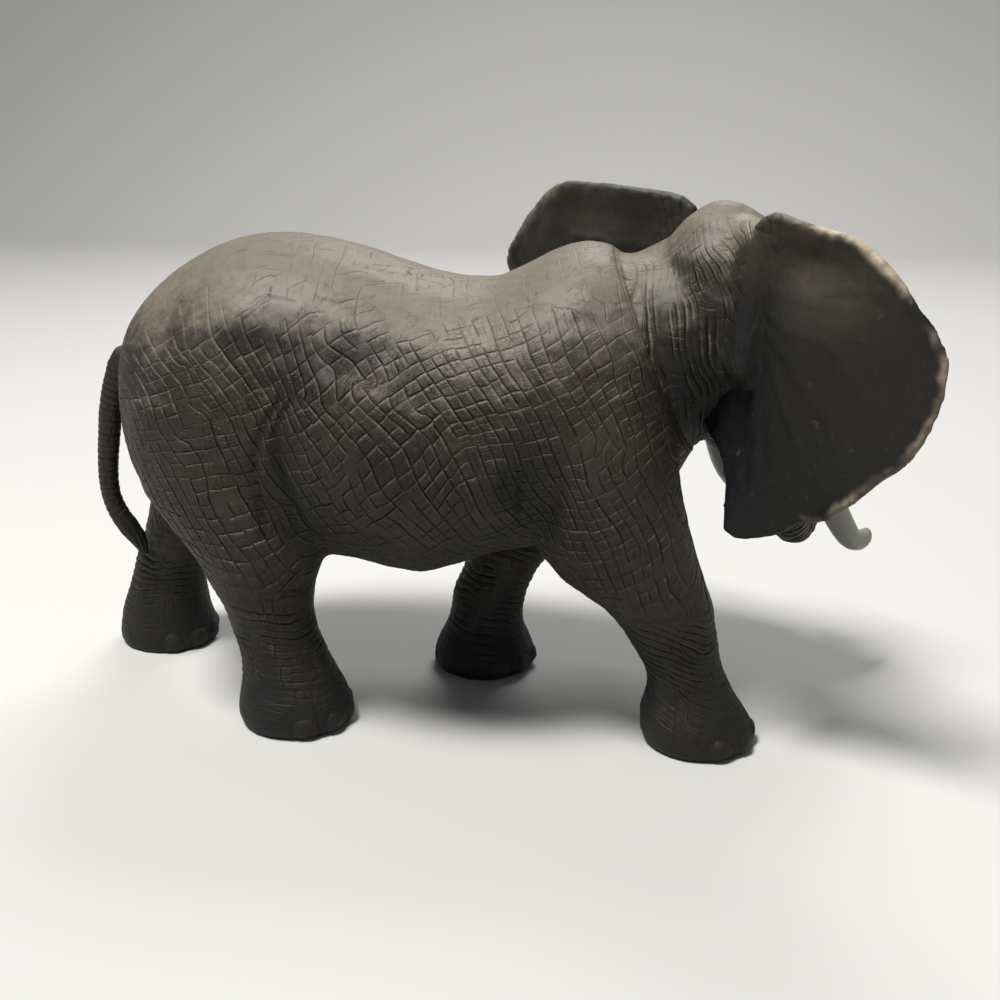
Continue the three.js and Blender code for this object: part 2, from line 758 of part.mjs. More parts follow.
// Curved sheet: cupped, rippled at the rim, rolled back along its top edge, with the lower lobe
// bent back. Its inner edge is a tongue that seats in a slot in the side of the skull.
function earSheet(ear, grow) {
  const corners = ear.outlineShares.map(([out, high]) => new THREE.Vector3(out, high, 0));
  const rim = new THREE.CatmullRomCurve3(corners, true).getSpacedPoints(earSides).slice(0, earSides);
  const top = Math.max(...rim.map((point) => point.y));
  const at = (out, high, reachShare, angle, offset) => {
    const thinning = THREE.MathUtils.clamp(out, 0, 1);
    const thickness = THREE.MathUtils.lerp(earRootThickness, earRimThickness, thinning) + 2 * grow;
    const roll = THREE.MathUtils.smoothstep(high, top - earRollShare, top) * earRollDepth;
    const cup = -ear.cupShare * earReach * out * Math.abs(out);
    const [bendFrom, bendTo] = ear.bendLevelShares;
    const low = 1 - THREE.MathUtils.smoothstep(high, bendTo, bendFrom);
    const bend = ear.bendShare * earReach * low * (1 - THREE.MathUtils.smoothstep(out, ...ear.bendReachShares));
    const ripple = earRipple * reachShare ** 4 * Math.sin(earRipples * angle);
    const depth = cup + roll + bend + ripple + (offset * thickness) / 2;
    return new THREE.Vector3(out * earReach, high * earHeight, depth);
  };
  const ring = (reachShare, offset, overhang) =>
    rim.map((point, k) => {
      const out = THREE.MathUtils.lerp(earMiddleShares[0], point.x, reachShare + overhang);
      const high = THREE.MathUtils.lerp(earMiddleShares[1], point.y, reachShare + overhang);
      return at(out, high, reachShare, (2 * Math.PI * k) / earSides, offset);
    });
  const rings = [];
  const growShare = (2 * grow) / earReach;
  for (let i = 1; i <= earRings; i += 1) {
    rings.push(ring(i / earRings, -1, growShare));
  }
  rings.push(ring(1, 0, growShare + earRimThickness / earHeight));
  for (let i = earRings; i >= 1; i -= 1) {
    rings.push(ring(i / earRings, 1, growShare));
  }
  const geometry = ringSurface(rings);
  geometry.applyMatrix4(earMatrix(ear));
  return solidOf(geometry);
}

const behindJoint = beyond(jointPoint, jointNormal.clone().negate(), -clearance);
const headForms = joined([
  face(),
  neck(),
  jaw(),
  ...[-1, 1].flatMap((side) => Object.values(faceForms).map((form) => faceForm(form, side))),
  sheath(-1),
  sheath(1),
]);
const spigot = plug({
  point: spigotCentre,
  direction: jointNormal,
  from: -spigotLength,
  to: overrun,
  radius: spigotRadius,
});
const head = cutBy(joined([cutBy(headForms, [behindJoint]), spigot]), [
  ...ears.map((ear) => earSheet(ear, clearance)),
  tusk(-1, clearance),
  tusk(1, clearance),
]);

// Finished pieces
const skinColour = new THREE.Color(0.2, 0.185, 0.165);
const earColour = new THREE.Color(0.16, 0.15, 0.14);
const tuskColour = new THREE.Color(0.72, 0.72, 0.64);

function piece(name, solid, color, roughness) {
  const { vertProperties, triVerts } = solid.getMesh();
  const geometry = new THREE.BufferGeometry();
  geometry.setAttribute("position", new THREE.BufferAttribute(Float32Array.from(vertProperties), 3));
  geometry.setIndex(new THREE.BufferAttribute(Uint32Array.from(triVerts), 1));
  const material = new THREE.MeshStandardMaterial({ color, roughness, metalness: 0 });
  const mesh = new THREE.Mesh(geometry, material);
  mesh.name = name;
  return mesh;
}

const elephant = new THREE.Group();
elephant.add(
  piece("body_half_right", bodyHalf(-1, true), skinColour, 0.6),
  piece("body_half_left", bodyHalf(1, false), skinColour, 0.6),
  piece("head", head, skinColour, 0.6),
  piece("ear_right", earSheet(ears[0], 0), earColour, 0.55),
  piece("ear_left", earSheet(ears[1], 0), earColour, 0.55),
  piece("tusk_right", tusk(-1, 0), tuskColour, 0.4),
  piece("tusk_left", tusk(1, 0), tuskColour, 0.4),
  piece("tail", tail(0), skinColour, 0.6),
);

// The origin is moved to the middle of the figure's box, on the ground
const box = new THREE.Box3().setFromObject(elephant);
const middleOfBox = box.getCenter(new THREE.Vector3());
elephant.position.set(-middleOfBox.x, -middleOfBox.y, -box.min.z);

export default elephant;
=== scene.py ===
# African elephant play figure in moulded, hand-painted vinyl.
# The skin is grown from copies of the plain pieces, then folded, creased and painted.
import math

import bmesh
import bpy
import numpy as np
from mathutils import Matrix, Vector, kdtree


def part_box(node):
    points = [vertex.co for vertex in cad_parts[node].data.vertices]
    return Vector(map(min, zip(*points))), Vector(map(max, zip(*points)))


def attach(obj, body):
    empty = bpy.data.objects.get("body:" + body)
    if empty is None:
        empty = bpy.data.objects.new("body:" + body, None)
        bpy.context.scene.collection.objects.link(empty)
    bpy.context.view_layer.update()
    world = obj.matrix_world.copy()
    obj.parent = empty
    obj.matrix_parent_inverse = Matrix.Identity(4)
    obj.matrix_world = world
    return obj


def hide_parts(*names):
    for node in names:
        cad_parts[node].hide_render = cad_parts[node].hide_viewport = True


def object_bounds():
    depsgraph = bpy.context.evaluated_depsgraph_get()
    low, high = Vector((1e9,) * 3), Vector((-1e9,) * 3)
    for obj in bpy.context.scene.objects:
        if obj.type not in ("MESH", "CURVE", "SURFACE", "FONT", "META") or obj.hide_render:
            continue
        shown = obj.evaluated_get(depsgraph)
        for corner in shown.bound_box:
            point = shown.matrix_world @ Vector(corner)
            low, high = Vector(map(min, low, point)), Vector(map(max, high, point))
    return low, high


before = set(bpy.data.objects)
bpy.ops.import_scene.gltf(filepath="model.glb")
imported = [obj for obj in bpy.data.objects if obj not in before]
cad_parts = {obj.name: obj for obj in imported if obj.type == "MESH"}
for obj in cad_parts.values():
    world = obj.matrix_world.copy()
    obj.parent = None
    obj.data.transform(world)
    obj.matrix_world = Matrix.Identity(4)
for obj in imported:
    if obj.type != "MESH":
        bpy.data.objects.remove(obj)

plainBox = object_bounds()

# The numbers below are in millimetres, from a point under the dip of the back
mm = 0.001
bodyCorner = np.array((-86.592, -35.0, 0.0))
home = np.array(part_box("body_half_right")[0]) - bodyCorner * mm


def placed(point):
    return Vector(home + np.array(point, dtype=float) * mm)


def unit(vector):
    vector = np.array(vector, dtype=float)
    return vector / np.linalg.norm(vector)


def newObject(name, shape):
    mesh = bpy.data.meshes.new(name)
    shape.to_mesh(mesh)
    shape.free()
    piece = bpy.data.objects.new(name, mesh)
    bpy.context.collection.objects.link(piece)
    return piece


def smoothFaces(mesh):
    mesh.polygons.foreach_set("use_smooth", [True] * len(mesh.polygons))


# Camera and studio

view = {
    "eye": (36.1, -260.5, 136.0),
    "down": 18.35,
    "turn": -7.8,
    "lens": 43.45,
    "sensor": 36.0,
    "nearest": 0.01,
}


def addCamera(s):
    down, turn = math.radians(s["down"]), math.radians(s["turn"])
    ahead = Vector((math.sin(turn) * math.cos(down), math.cos(turn) * math.cos(down), -math.sin(down)))
    data = bpy.data.cameras.new("viewer")
    data.lens = s["lens"]
    data.sensor_width = s["sensor"]
    data.sensor_fit = "HORIZONTAL"
    data.clip_start = s["nearest"]
    camera = bpy.data.objects.new("viewer", data)
    camera.location = placed(s["eye"])
    camera.rotation_euler = ahead.to_track_quat("-Z", "Y").to_euler()
    bpy.context.collection.objects.link(camera)
    bpy.context.scene.camera = camera


studio = {
    "floorSize": 3.0,
    "backDistance": 0.9,
    "backHeight": 1.6,
    "bend": 0.35,
    "bendSteps": 12,
    "aim": (0, 0, 0.05),
    "paperRoughness": 0.9,
    "floorColor": (0.23, 0.23, 0.226, 1),
    "seenColor": (0.68, 0.68, 0.67, 1),
    "sky": (0.93, 0.96, 1.0),
    "skyStrength": 0.135,
    # name, place, size, watts, colour
    "lamps": (
        ("above", (-0.26, -0.3, 1.1), 0.3, 14.5, (1.0, 0.98, 0.94)),
        ("behind", (0.1, 0.7, 0.9), 0.5, 5.5, (1.0, 0.98, 0.96)),
    ),
}


def addStudio(s):
    sweep = bmesh.new()
    half, back, bend, steps = s["floorSize"] / 2, s["backDistance"], s["bend"], s["bendSteps"]
    outline = [(-half, 0)]
    for step in range(steps + 1):
        angle = math.pi / 2 * step / steps
        outline.append((back + bend * math.sin(angle), bend * (1 - math.cos(angle))))
    outline.append((back + bend, s["backHeight"]))
    low = [sweep.verts.new((-half, y, z)) for y, z in outline]
    edges = [sweep.edges.new(pair) for pair in zip(low, low[1:])]
    grown = bmesh.ops.extrude_edge_only(sweep, edges=edges)
    moved = [item for item in grown["geom"] if isinstance(item, bmesh.types.BMVert)]
    bmesh.ops.translate(sweep, verts=moved, vec=(s["floorSize"], 0, 0))
    bmesh.ops.recalc_face_normals(sweep, faces=sweep.faces)
    floor = newObject("studioFloor", sweep)
    smoothFaces(floor.data)
    paper = bpy.data.materials.new("paper")
    paper.use_nodes = True
    nodes, links = paper.node_tree.nodes, paper.node_tree.links
    shader = nodes["Principled BSDF"]
    shader.inputs["Roughness"].default_value = s["paperRoughness"]
    path = nodes.new("ShaderNodeLightPath")
    seen = path.outputs["Is Camera Ray"]
    for ray in ("Is Glossy Ray", "Is Transmission Ray"):
        both = nodes.new("ShaderNodeMath")
        both.operation = "MAXIMUM"
        links.new(seen, both.inputs[0])
        links.new(path.outputs[ray], both.inputs[1])
        seen = both.outputs[0]
    shade = nodes.new("ShaderNodeMix")
    shade.data_type = "RGBA"
    shade.inputs["A"].default_value = s["floorColor"]
    shade.inputs["B"].default_value = s["seenColor"]
    links.new(seen, shade.inputs["Factor"])
    links.new(shade.outputs["Result"], shader.inputs["Base Color"])
    floor.data.materials.append(paper)
    for name, place, size, watts, color in s["lamps"]:
        lamp = bpy.data.lights.new(name, "AREA")
        lamp.shape = "SQUARE"
        lamp.size = size
        lamp.energy = watts
        lamp.color = color
        stand = bpy.data.objects.new(name, lamp)
        stand.location = place
        aim = Vector(s["aim"]) - Vector(place)
        stand.rotation_euler = aim.to_track_quat("-Z", "Y").to_euler()
        bpy.context.collection.objects.link(stand)
    world = bpy.data.worlds.new("studioAir")
    world.use_nodes = True
    air = world.node_tree.nodes["Background"]
    air.inputs["Color"].default_value = (*s["sky"], 1)
    air.inputs["Strength"].default_value = s["skyStrength"]
    bpy.context.scene.world = world


addCamera(view)
addStudio(studio)
bpy.context.scene.view_settings.view_transform = "Standard"
print("studio ready")


# Points of a mesh in millimetres, and fields over them

def readPoints(mesh):
    flat = np.empty(len(mesh.vertices) * 3, dtype=np.float32)
    mesh.vertices.foreach_get("co", flat)
    return (flat.reshape(-1, 3).astype(np.float64) - home) / mm


def readNormals(mesh):
    flat = np.empty(len(mesh.vertices) * 3, dtype=np.float32)
    mesh.vertex_normals.foreach_get("vector", flat)
    return flat.reshape(-1, 3).astype(np.float64)


def writePoints(mesh, spots):
    mesh.vertices.foreach_set("co", (spots * mm + home).astype(np.float32).ravel())
    mesh.update()


def addMark(mesh, name, values, low=0, high=1):
    mark = mesh.attributes.new(name, "FLOAT", "POINT")
    mark.data.foreach_set("value", np.clip(values, low, high).astype(np.float32))


def ramp(values, low, high):
    share = np.clip((values - low) / (high - low), 0, 1)
    return share * share * (3 - 2 * share)


def bell(values, width):
    return np.exp(-((values / width) ** 2))


# Rounded spot on a flat chart
def patchOf(x, t, middleX, middleT, radiusX, radiusT):
    return np.exp(-(((x - middleX) / radiusX) ** 2 + ((t - middleT) / radiusT) ** 2))


# Soft random field from -1 to 1, always the same for one seed
def noise(spots, size, seed):
    lattice = np.random.default_rng(seed).random((32, 32, 32), dtype=np.float32)
    spot = spots / size + 640.0
    cell = np.floor(spot).astype(np.int32)
    part = (spot - cell).astype(np.float32)
    part = part * part * (3 - 2 * part)
    near, far = cell & 31, (cell + 1) & 31
    total = 0.0
    for corner in range(8):
        weight, pick = 1.0, []
        for axis in range(3):
            if corner >> axis & 1:
                weight = weight * part[:, axis]
                pick.append(far[:, axis])
            else:
                weight = weight * (1 - part[:, axis])
                pick.append(near[:, axis])
        total = total + weight * lattice[pick[0], pick[1], pick[2]]
    return total * 2 - 1


# Sum of soft fields, each given as strength and size, with seeds that follow each other
def rough(spots, seed, *layers):
    return sum(strength * noise(spots, size, seed + k) for k, (strength, size) in enumerate(layers))


# Nothing stands out of the box round the plain pieces
def insideBox(spots):
    low, high = ((np.array(corner) - home) / mm for corner in plainBox)
    return np.clip(spots, low, high)


def flatSpots(u, v):
    return np.stack((u, v, np.zeros_like(u)), axis=1)


# Rows of plates with staggered joints: how deep the lines between them are, from 0 to 1
def bricks(u, v, row, brick, width, seed):
    dice = np.random.default_rng(seed).random(4096)
    level = v / row
    rank = np.floor(level).astype(np.int64)
    toRow = np.abs(level - np.round(level)) * row
    rowPower = 0.55 + 0.45 * dice[(np.round(level).astype(np.int64) * 131 + 7) & 4095]
    along = u / brick + dice[(rank * 61) & 4095] * 9
    slot = np.round(along).astype(np.int64)
    toJoint = np.abs(along - slot + 0.55 * (dice[(slot * 17 + rank * 97) & 4095] - 0.5)) * brick
    jointPower = 0.4 + 0.6 * dice[(slot * 29 + rank * 53 + 11) & 4095]
    return np.maximum(rowPower * bell(toRow, width), jointPower * bell(toJoint, width))


# For each point: its gap to a path, how far along the path that is, its offset from the path
# and the path's direction there. The last value is the path's length.
def followPath(spots, path):
    path = np.array(path, dtype=float)
    gap, station, before = np.full(len(spots), np.inf), np.zeros(len(spots)), 0.0
    offset, heading = np.zeros_like(spots), np.zeros_like(spots)
    for start, end in zip(path, path[1:]):
        length = np.linalg.norm(end - start)
        along = (end - start) / length
        reached = np.clip((spots - start) @ along, 0, length)
        aside = spots - start - reached[:, None] * along
        near = np.linalg.norm(aside, axis=1)
        better = near < gap
        gap[better], station[better] = near[better], before + reached[better]
        offset[better], heading[better] = aside[better], along
        before += length
    return gap, station, offset, heading, before


# How near each point is to a path on a flat chart, from 0 to 1, with ends that fade
def nearPath(spots, path, width, fade=0.0):
    path = np.array([(*spot, 0) for spot in path], dtype=float)
    result = np.zeros(len(spots))
    reach = 3 * width
    inside = np.all((spots > path.min(0) - reach) & (spots < path.max(0) + reach), axis=1)
    chosen = np.nonzero(inside)[0]
    if len(chosen):
        gap, station, _, _, length = followPath(spots[chosen], path)
        result[chosen] = bell(gap, width)
        if fade:
            result[chosen] *= ramp(np.minimum(station, length - station), 0, fade)
    return result


def nearest(spots, paths, width, fade=0.0):
    return np.maximum.reduce([nearPath(spots, path, width, fade) for path in paths])


def applyModifiers(piece):
    graph = bpy.context.evaluated_depsgraph_get()
    mesh = bpy.data.meshes.new_from_object(piece.evaluated_get(graph))
    old = piece.data
    piece.modifiers.clear()
    piece.data = mesh
    bpy.data.meshes.remove(old)


def keepLargest(shape):
    seen, islands = set(), []
    for seed in shape.verts:
        if seed in seen:
            continue
        seen.add(seed)
        island, waiting = [seed], [seed]
        while waiting:
            for edge in waiting.pop().link_edges:
                for vert in edge.verts:
                    if vert not in seen:
                        seen.add(vert)
                        island.append(vert)
                        waiting.append(vert)
        islands.append(island)
    islands.sort(key=len)
    loose = [vert for island in islands[:-1] for vert in island]
    bmesh.ops.delete(shape, geom=loose, context="VERTS")


def copyOf(nodeName):
    copy = bmesh.new()
    copy.from_mesh(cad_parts[nodeName].data)
    bmesh.ops.remove_doubles(copy, verts=copy.verts, dist=1e-6)
    return copy


# Adds a shape to another one and frees it
def pourInto(joined, shape):
    passing = bpy.data.meshes.new("passing")
    shape.to_mesh(passing)
    shape.free()
    joined.from_mesh(passing)
    bpy.data.meshes.remove(passing)


# A piece's mesh cut by a plane, the open side closed flat
def cutAway(shape, point, normal):
    geometry = shape.verts[:] + shape.edges[:] + shape.faces[:]
    bmesh.ops.bisect_plane(
        shape, geom=geometry, dist=1e-7, plane_co=placed(point), plane_no=Vector(normal), clear_outer=True
    )
    rim = [edge for edge in shape.edges if edge.is_boundary]
    bmesh.ops.holes_fill(shape, edges=rim, sides=0)


# One smooth, finely divided closed surface round copies of CAD nodes
def grow(name, nodeNames, s, adjust=None, fillers=(), extra=None):
    joined = bmesh.new()
    for nodeName in nodeNames:
        copy = copyOf(nodeName)
        if adjust:
            adjust(nodeName, copy)
        pourInto(joined, copy)
    if extra:
        extra(joined)
    for centre, radii in fillers:
        where = Matrix.Translation(placed(centre)) @ Matrix.Diagonal((*(np.array(radii) * mm), 1))
        bmesh.ops.create_icosphere(joined, subdivisions=3, radius=1, matrix=where)
    piece = newObject(name, joined)
    voxels = piece.modifiers.new("voxels", "REMESH")
    voxels.mode = "VOXEL"
    voxels.voxel_size = s["voxel"] * mm
    applyModifiers(piece)
    shape = bmesh.new()
    shape.from_mesh(piece.data)
    keepLargest(shape)
    for _ in range(s["smoothing"]):
        # a step in and a larger step out keep the volume
        for factor in (0.5, -0.53):
            bmesh.ops.smooth_vert(
                shape, verts=shape.verts, factor=factor, use_axis_x=True, use_axis_y=True, use_axis_z=True
            )
    shape.to_mesh(piece.data)
    shape.free()
    levels = s["levels"] - (1 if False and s["levels"] > 1 else 0)
    if levels:
        finer = piece.modifiers.new("finer", "SUBSURF")
        finer.levels = finer.render_levels = levels
        applyModifiers(piece)
    return piece


def finishPiece(piece, node, triangles):
    count = sum(len(face.vertices) - 2 for face in piece.data.polygons)
    if count > triangles:
        thinner = piece.modifiers.new("thinner", "DECIMATE")
        thinner.ratio = triangles / count
        thinner.use_collapse_triangulate = True
        applyModifiers(piece)
        writePoints(piece.data, insideBox(readPoints(piece.data)))
    smoothFaces(piece.data)
    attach(piece, "root")
    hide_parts(node)


print("tools ready")


# Crease chart of one side of the body: x along, and 36 mm times the angle down from the spine.
# Two families of lines cross on it. Each is the whole numbers of a field that is fitted to the
# directions and spacings below, and to the lines that stand out on the figure.

chart = {
    "left": -108.0,
    "wide": 174,
    "deep": 114,
    "radius": 36.0,
    "axisHeight": 72.0,
    # spacing: all over, and how much finer between two depths towards the legs
    "fine": 0.85,
    "legFine": (0.3, 68, 92),
    # how a place between the entries of ways shares them: softening, sharpness
    "blend": (14, 1.7),
    # pull of the drawn lines, steps of the fit, least likeness of direction that holds a line
    "hold": 1.2,
    "rounds": 260,
    "alike": 0.85,
    "leastSlope": 0.12,
}

# Place, then the direction in degrees, spacing and strength of each family
ways = (
    (-22, 59, 39, 136, 3.4, 3.6, 1, 1),
    (-32, 52, 52, 139, 3.4, 3.4, 0.9, 0.9),
    (-30, 71, 63, 135, 3.1, 3.2, 0.95, 0.9),
    (-18, 74, 22, 136, 2.9, 3, 0.9, 0.9),
    (-26, 43, 25, 123, 4.2, 4.2, 0.75, 0.6),
    (-9, 48, 45, 138, 3.8, 4, 0.9, 1),
    (-7, 65, 35, 128, 3.3, 3.3, 0.9, 0.95),
    (-2, 43, 61, 152, 3.4, 4, 0.8, 0.9),
    (4, 34, 92, 179, 3.4, 3.6, 0.7, 0.8),
    (15, 23, 57, 131, 7, 6, 0.55, 0.5),
    (22, 40, 60, 128, 5, 4.6, 0.5, 0.5),
    (26, 56, 68, 128, 3.8, 4.2, 0.6, 0.42),
    (33, 71, 67, 131, 2.7, 3.4, 0.65, 0.42),
    (37, 84, 64, 174, 2.6, 3, 0.75, 0.5),
    (14, 72, 75, 165, 2.8, 3.2, 0.8, 0.6),
    (5, 63, 91, 173, 3.2, 4, 0.7, 0.6),
    (0, 78, 72, 159, 3, 2.9, 0.7, 0.8),
    (-18, 87, 60, 151, 3, 2.6, 0.6, 0.7),
    (-38, 60, 102, 176, 3.6, 4, 0.7, 0.5),
    (-49, 43, 45, 135, 4.4, 4.2, 0.75, 0.6),
    (-58, 62, 67, 165, 3.3, 3.4, 0.9, 0.8),
    (-70, 59, 85, 161, 2.5, 2.8, 0.8, 0.7),
    (-53, 80, 63, 163, 3.3, 3.2, 0.95, 0.8),
    (-59, 26, 64, 185, 7, 8, 0.25, 0.35),
    (-48, 15, 90, 168, 6, 7, 0.2, 0.35),
    (-28, 21, 92, 184, 3.4, 6, 0.35, 0.4),
    (-12, 20, 89, 184, 3.2, 5, 0.35, 0.4),
    (-38, 79, 94, 166, 2.9, 3.4, 0.8, 0.6),
    (8, 9, 89, 150, 6, 3.2, 0.2, 0.35),
    (23, 16, 65, 128, 4, 6, 0.4, 0.3),
    (-62, 50, 62, 157, 3.4, 3.4, 0.7, 0.7),
    (-50, 90, 74, 184, 3.6, 2.4, 0.5, 0.8),
    (-40, 88, 50, 165, 3, 2.6, 0.5, 0.8),
    (42, 90, 34, 176, 2.3, 3.2, 0.8, 0.5),
)
# Lines that stand out, as seen on the figure
deepFolds = (
    ((-38, 45.4), (-40.6, 49.9), (-43.5, 54.5), (-45.5, 59.9), (-46.4, 65.6), (-47, 74.7), (-46.1, 81.1),
     (-42.5, 84.8)),
    ((-35.2, 46.8), (-37.2, 48.3), (-39.9, 52.8), (-41.5, 57.4), (-41.3, 65.1), (-39.4, 73.2), (-36.8, 82.4),
     (-33.2, 89.1)),
    ((-46.6, 47.2), (-45.5, 53.1), (-44.6, 56.9)),
    ((5.7, 62), (6, 66.5), (5.5, 71.6)),
    ((8.7, 62.1), (9.5, 70.6), (8.4, 79.1)),
)
plainLines = (
    ((-34.8, 48.6), (-29.6, 52.4), (-25.5, 55.7), (-20.8, 61.4), (-16.7, 64.7)),
    ((-36.1, 54.5), (-32.4, 59), (-29.1, 62.3), (-25.8, 66.3)),
    ((-29.7, 49.5), (-25.6, 51.5), (-21.5, 54.9), (-16.7, 60.1), (-13.4, 63.3)),
    ((-25.7, 48.6), (-21.6, 51.4), (-16.1, 54.7), (-10.7, 59.9)),
    ((-33.2, 35.1), (-27.7, 37.5), (-22.2, 39.9)),
    ((-34.3, 39), (-28.8, 41.4), (-23.3, 44.1), (-19.9, 44.8)),
    ((-24.5, 44.9), (-19, 48.4), (-13.6, 51.1), (-8.3, 53)),
    ((-16.4, 49), (-12.3, 51.7), (-8.2, 55.1)),
    ((-18.8, 62.9), (-14.1, 67.2), (-10.3, 71.3)),
    ((-31.8, 70.2), (-26.4, 64.9), (-21.4, 60.4), (-16.8, 55.4), (-13.6, 51.1), (-10.5, 47.7)),
    ((-35.3, 62.1), (-31, 56.8), (-26.9, 52.3), (-23, 49.3)),
    ((-25.8, 67), (-20.8, 63), (-15.4, 58), (-10.9, 54.5), (-7.1, 50.9)),
    ((-29.9, 65.4), (-25.5, 60), (-20.8, 54.8), (-16.9, 51.9)),
    ((-17.6, 68.9), (-13.4, 63.9), (-9.4, 59.8), (-6.6, 55.1), (-5.7, 51.5)),
    ((-12.5, 47.4), (-9.4, 44.3), (-5.7, 41.8)),
    ((-10.3, 71.3), (-6.8, 67.8), (-3.5, 63.1), (-1.6, 58.4)),
    ((-21.7, 48.1), (-19.2, 46.2), (-16, 43.8)),
    ((-21.4, 77.9), (-15.7, 72.2), (-12.9, 69.3)),
    ((-15.9, 83.6), (-10.2, 77.1), (-5.6, 70.7), (-2.2, 65.1)),
    ((-60.5, 36.5), (-56.4, 39.9), (-51.2, 43.6), (-48.3, 47.2), (-46.2, 50.9)),
    ((-60.9, 42.1), (-60, 47.6), (-59.8, 54), (-61.1, 57.4)),
    ((-57.1, 53.8), (-58, 60.4), (-57.1, 66.9), (-57.2, 73.5), (-55.6, 78.7), (-52.5, 82.7)),
    ((-51.6, 60.5), (-49.7, 62.7), (-49.3, 66)),
    ((-57.1, 71.4), (-52.2, 72), (-47.6, 69.3)),
    ((-67.9, 54.7), (-67.4, 59.1), (-64.5, 62), (-63.2, 65.9)),
    ((-72.7, 51.9), (-70.1, 49.8), (-64.9, 47.8)),
    ((-55.3, 35.3), (-52.1, 38.4), (-49.8, 42.1)),
    ((-7.4, 47.2), (-3.4, 46.7), (0.5, 45.3), (4.4, 42.5), (7.3, 39.6), (9.6, 38.7)),
    ((-7.7, 43.7), (-5, 42.8), (-0.6, 39.2)),
    ((18, 21), (20.9, 25.2), (24.4, 29.4), (27.9, 34.4), (30.8, 39.8)),
    ((25, 27.6), (28.6, 33.4), (32.1, 41.3), (35.7, 49.4), (38.6, 58.7)),
    ((14.3, 39), (17.1, 44.3), (20.6, 49.7), (24.1, 56.1), (27.4, 59.2), (30.1, 59.4)),
    ((29.7, 29), (33.2, 32.4), (35.3, 37.4), (37.6, 44.9), (39.1, 52.3)),
    ((15.2, 45.9), (18, 50.6), (19.4, 54.6)),
    ((29.6, 44.2), (27.7, 47), (26.5, 48.7)),
    ((29.7, 47.7), (27.2, 52.8), (25.4, 57.6), (23.2, 62.6), (21.6, 67.3)),
    ((19, 41.8), (21.5, 38.5), (23.4, 35.1), (25.1, 30.1)),
    ((17.9, 46.6), (20.4, 42.5), (23.5, 38.3)),
    ((25.5, 59.2), (28.9, 64.2), (31.7, 70), (33.9, 76.1), (36.1, 80.1)),
    ((29.9, 58.6), (32.9, 64.9), (35.8, 72.3), (40.2, 81.8)),
    ((32.5, 54.7), (35.4, 62.4), (38.4, 73), (41.5, 82.5), (44.7, 91.1)),
    ((21.6, 67.3), (24.4, 71.7), (27.9, 75.7), (33.5, 81.5)),
)
dashes = (
    ((-55.5, 11.8), (-51.2, 11.5)),
    ((-47.8, 13.4), (-41.5, 13.3)),
    ((-49.8, 18.2), (-43.7, 15.7)),
    ((-51.1, 28.1), (-48.6, 26.3), (-44.6, 25.3), (-41.1, 25.7)),
    ((-35.3, 24.2), (-30.5, 25.3), (-27.9, 24.8)),
    ((-30.1, 12), (-24.6, 12.2)),
    ((-33.9, 20.3), (-31.6, 21.8)),
    ((-49.7, 33.1), (-43.2, 25.4), (-38.3, 26.3), (-35.9, 29.4)),
    ((21.4, 22.5), (24.9, 24.4), (29.4, 20.8)),
)


def wayTables():
    table = np.array(ways, dtype=float)
    x = chart["left"] + np.arange(chart["wide"])
    t = np.arange(chart["deep"])
    spots = np.stack(np.meshgrid(x, t, indexing="ij"), axis=-1)
    gaps = ((spots[:, :, None, :] - table[None, None, :, :2]) ** 2).sum(-1)
    soft, sharp = chart["blend"]
    share = 1 / (gaps + soft) ** sharp
    share /= share.sum(-1, keepdims=True)
    return share @ table[:, 2:]


# Field whose slope is close to the wanted one, held at whole numbers on some cells
def fitField(slopeX, slopeT, held, target):
    def press(field):
        result = chart["hold"] * held * field
        stepX, stepT = np.diff(field, axis=0), np.diff(field, axis=1)
        result[1:] += stepX
        result[:-1] -= stepX
        result[:, 1:] += stepT
        result[:, :-1] -= stepT
        return result + 1e-6 * field

    wanted = chart["hold"] * held * target
    middleX, middleT = (slopeX[1:] + slopeX[:-1]) / 2, (slopeT[:, 1:] + slopeT[:, :-1]) / 2
    wanted[1:] += middleX
    wanted[:-1] -= middleX
    wanted[:, 1:] += middleT
    wanted[:, :-1] -= middleT
    field = np.zeros_like(wanted)
    rest = wanted - press(field)
    way = rest.copy()
    size = (rest * rest).sum()
    for _ in range(chart["rounds"]):
        pressed = press(way)
        share = size / (way * pressed).sum()
        field += share * way
        rest -= share * pressed
        newSize = (rest * rest).sum()
        way = rest + newSize / size * way
        size = newSize
    return field


def readChart(sheet, x, t):
    row = np.clip(x - chart["left"], 0, sheet.shape[0] - 1.01)
    column = np.clip(t, 0, sheet.shape[1] - 1.01)
    i, j = row.astype(np.int32), column.astype(np.int32)
    a, b = row - i, column - j
    return (
        sheet[i, j] * (1 - a) * (1 - b)
        + sheet[i + 1, j] * a * (1 - b)
        + sheet[i, j + 1] * (1 - a) * b
        + sheet[i + 1, j + 1] * a * b
    )


# Points every millimetre along a drawn line, and the line's own direction there
def walk(path):
    spots, turns = [], []
    for start, end in zip(path, path[1:]):
        steps = max(int(round(math.dist(start, end))), 1)
        for k in range(steps):
            spots.append(np.array(start) + (np.array(end) - np.array(start)) * k / steps)
            turns.append(math.atan2(end[1] - start[1], end[0] - start[0]))
    return np.array(spots), np.array(turns)


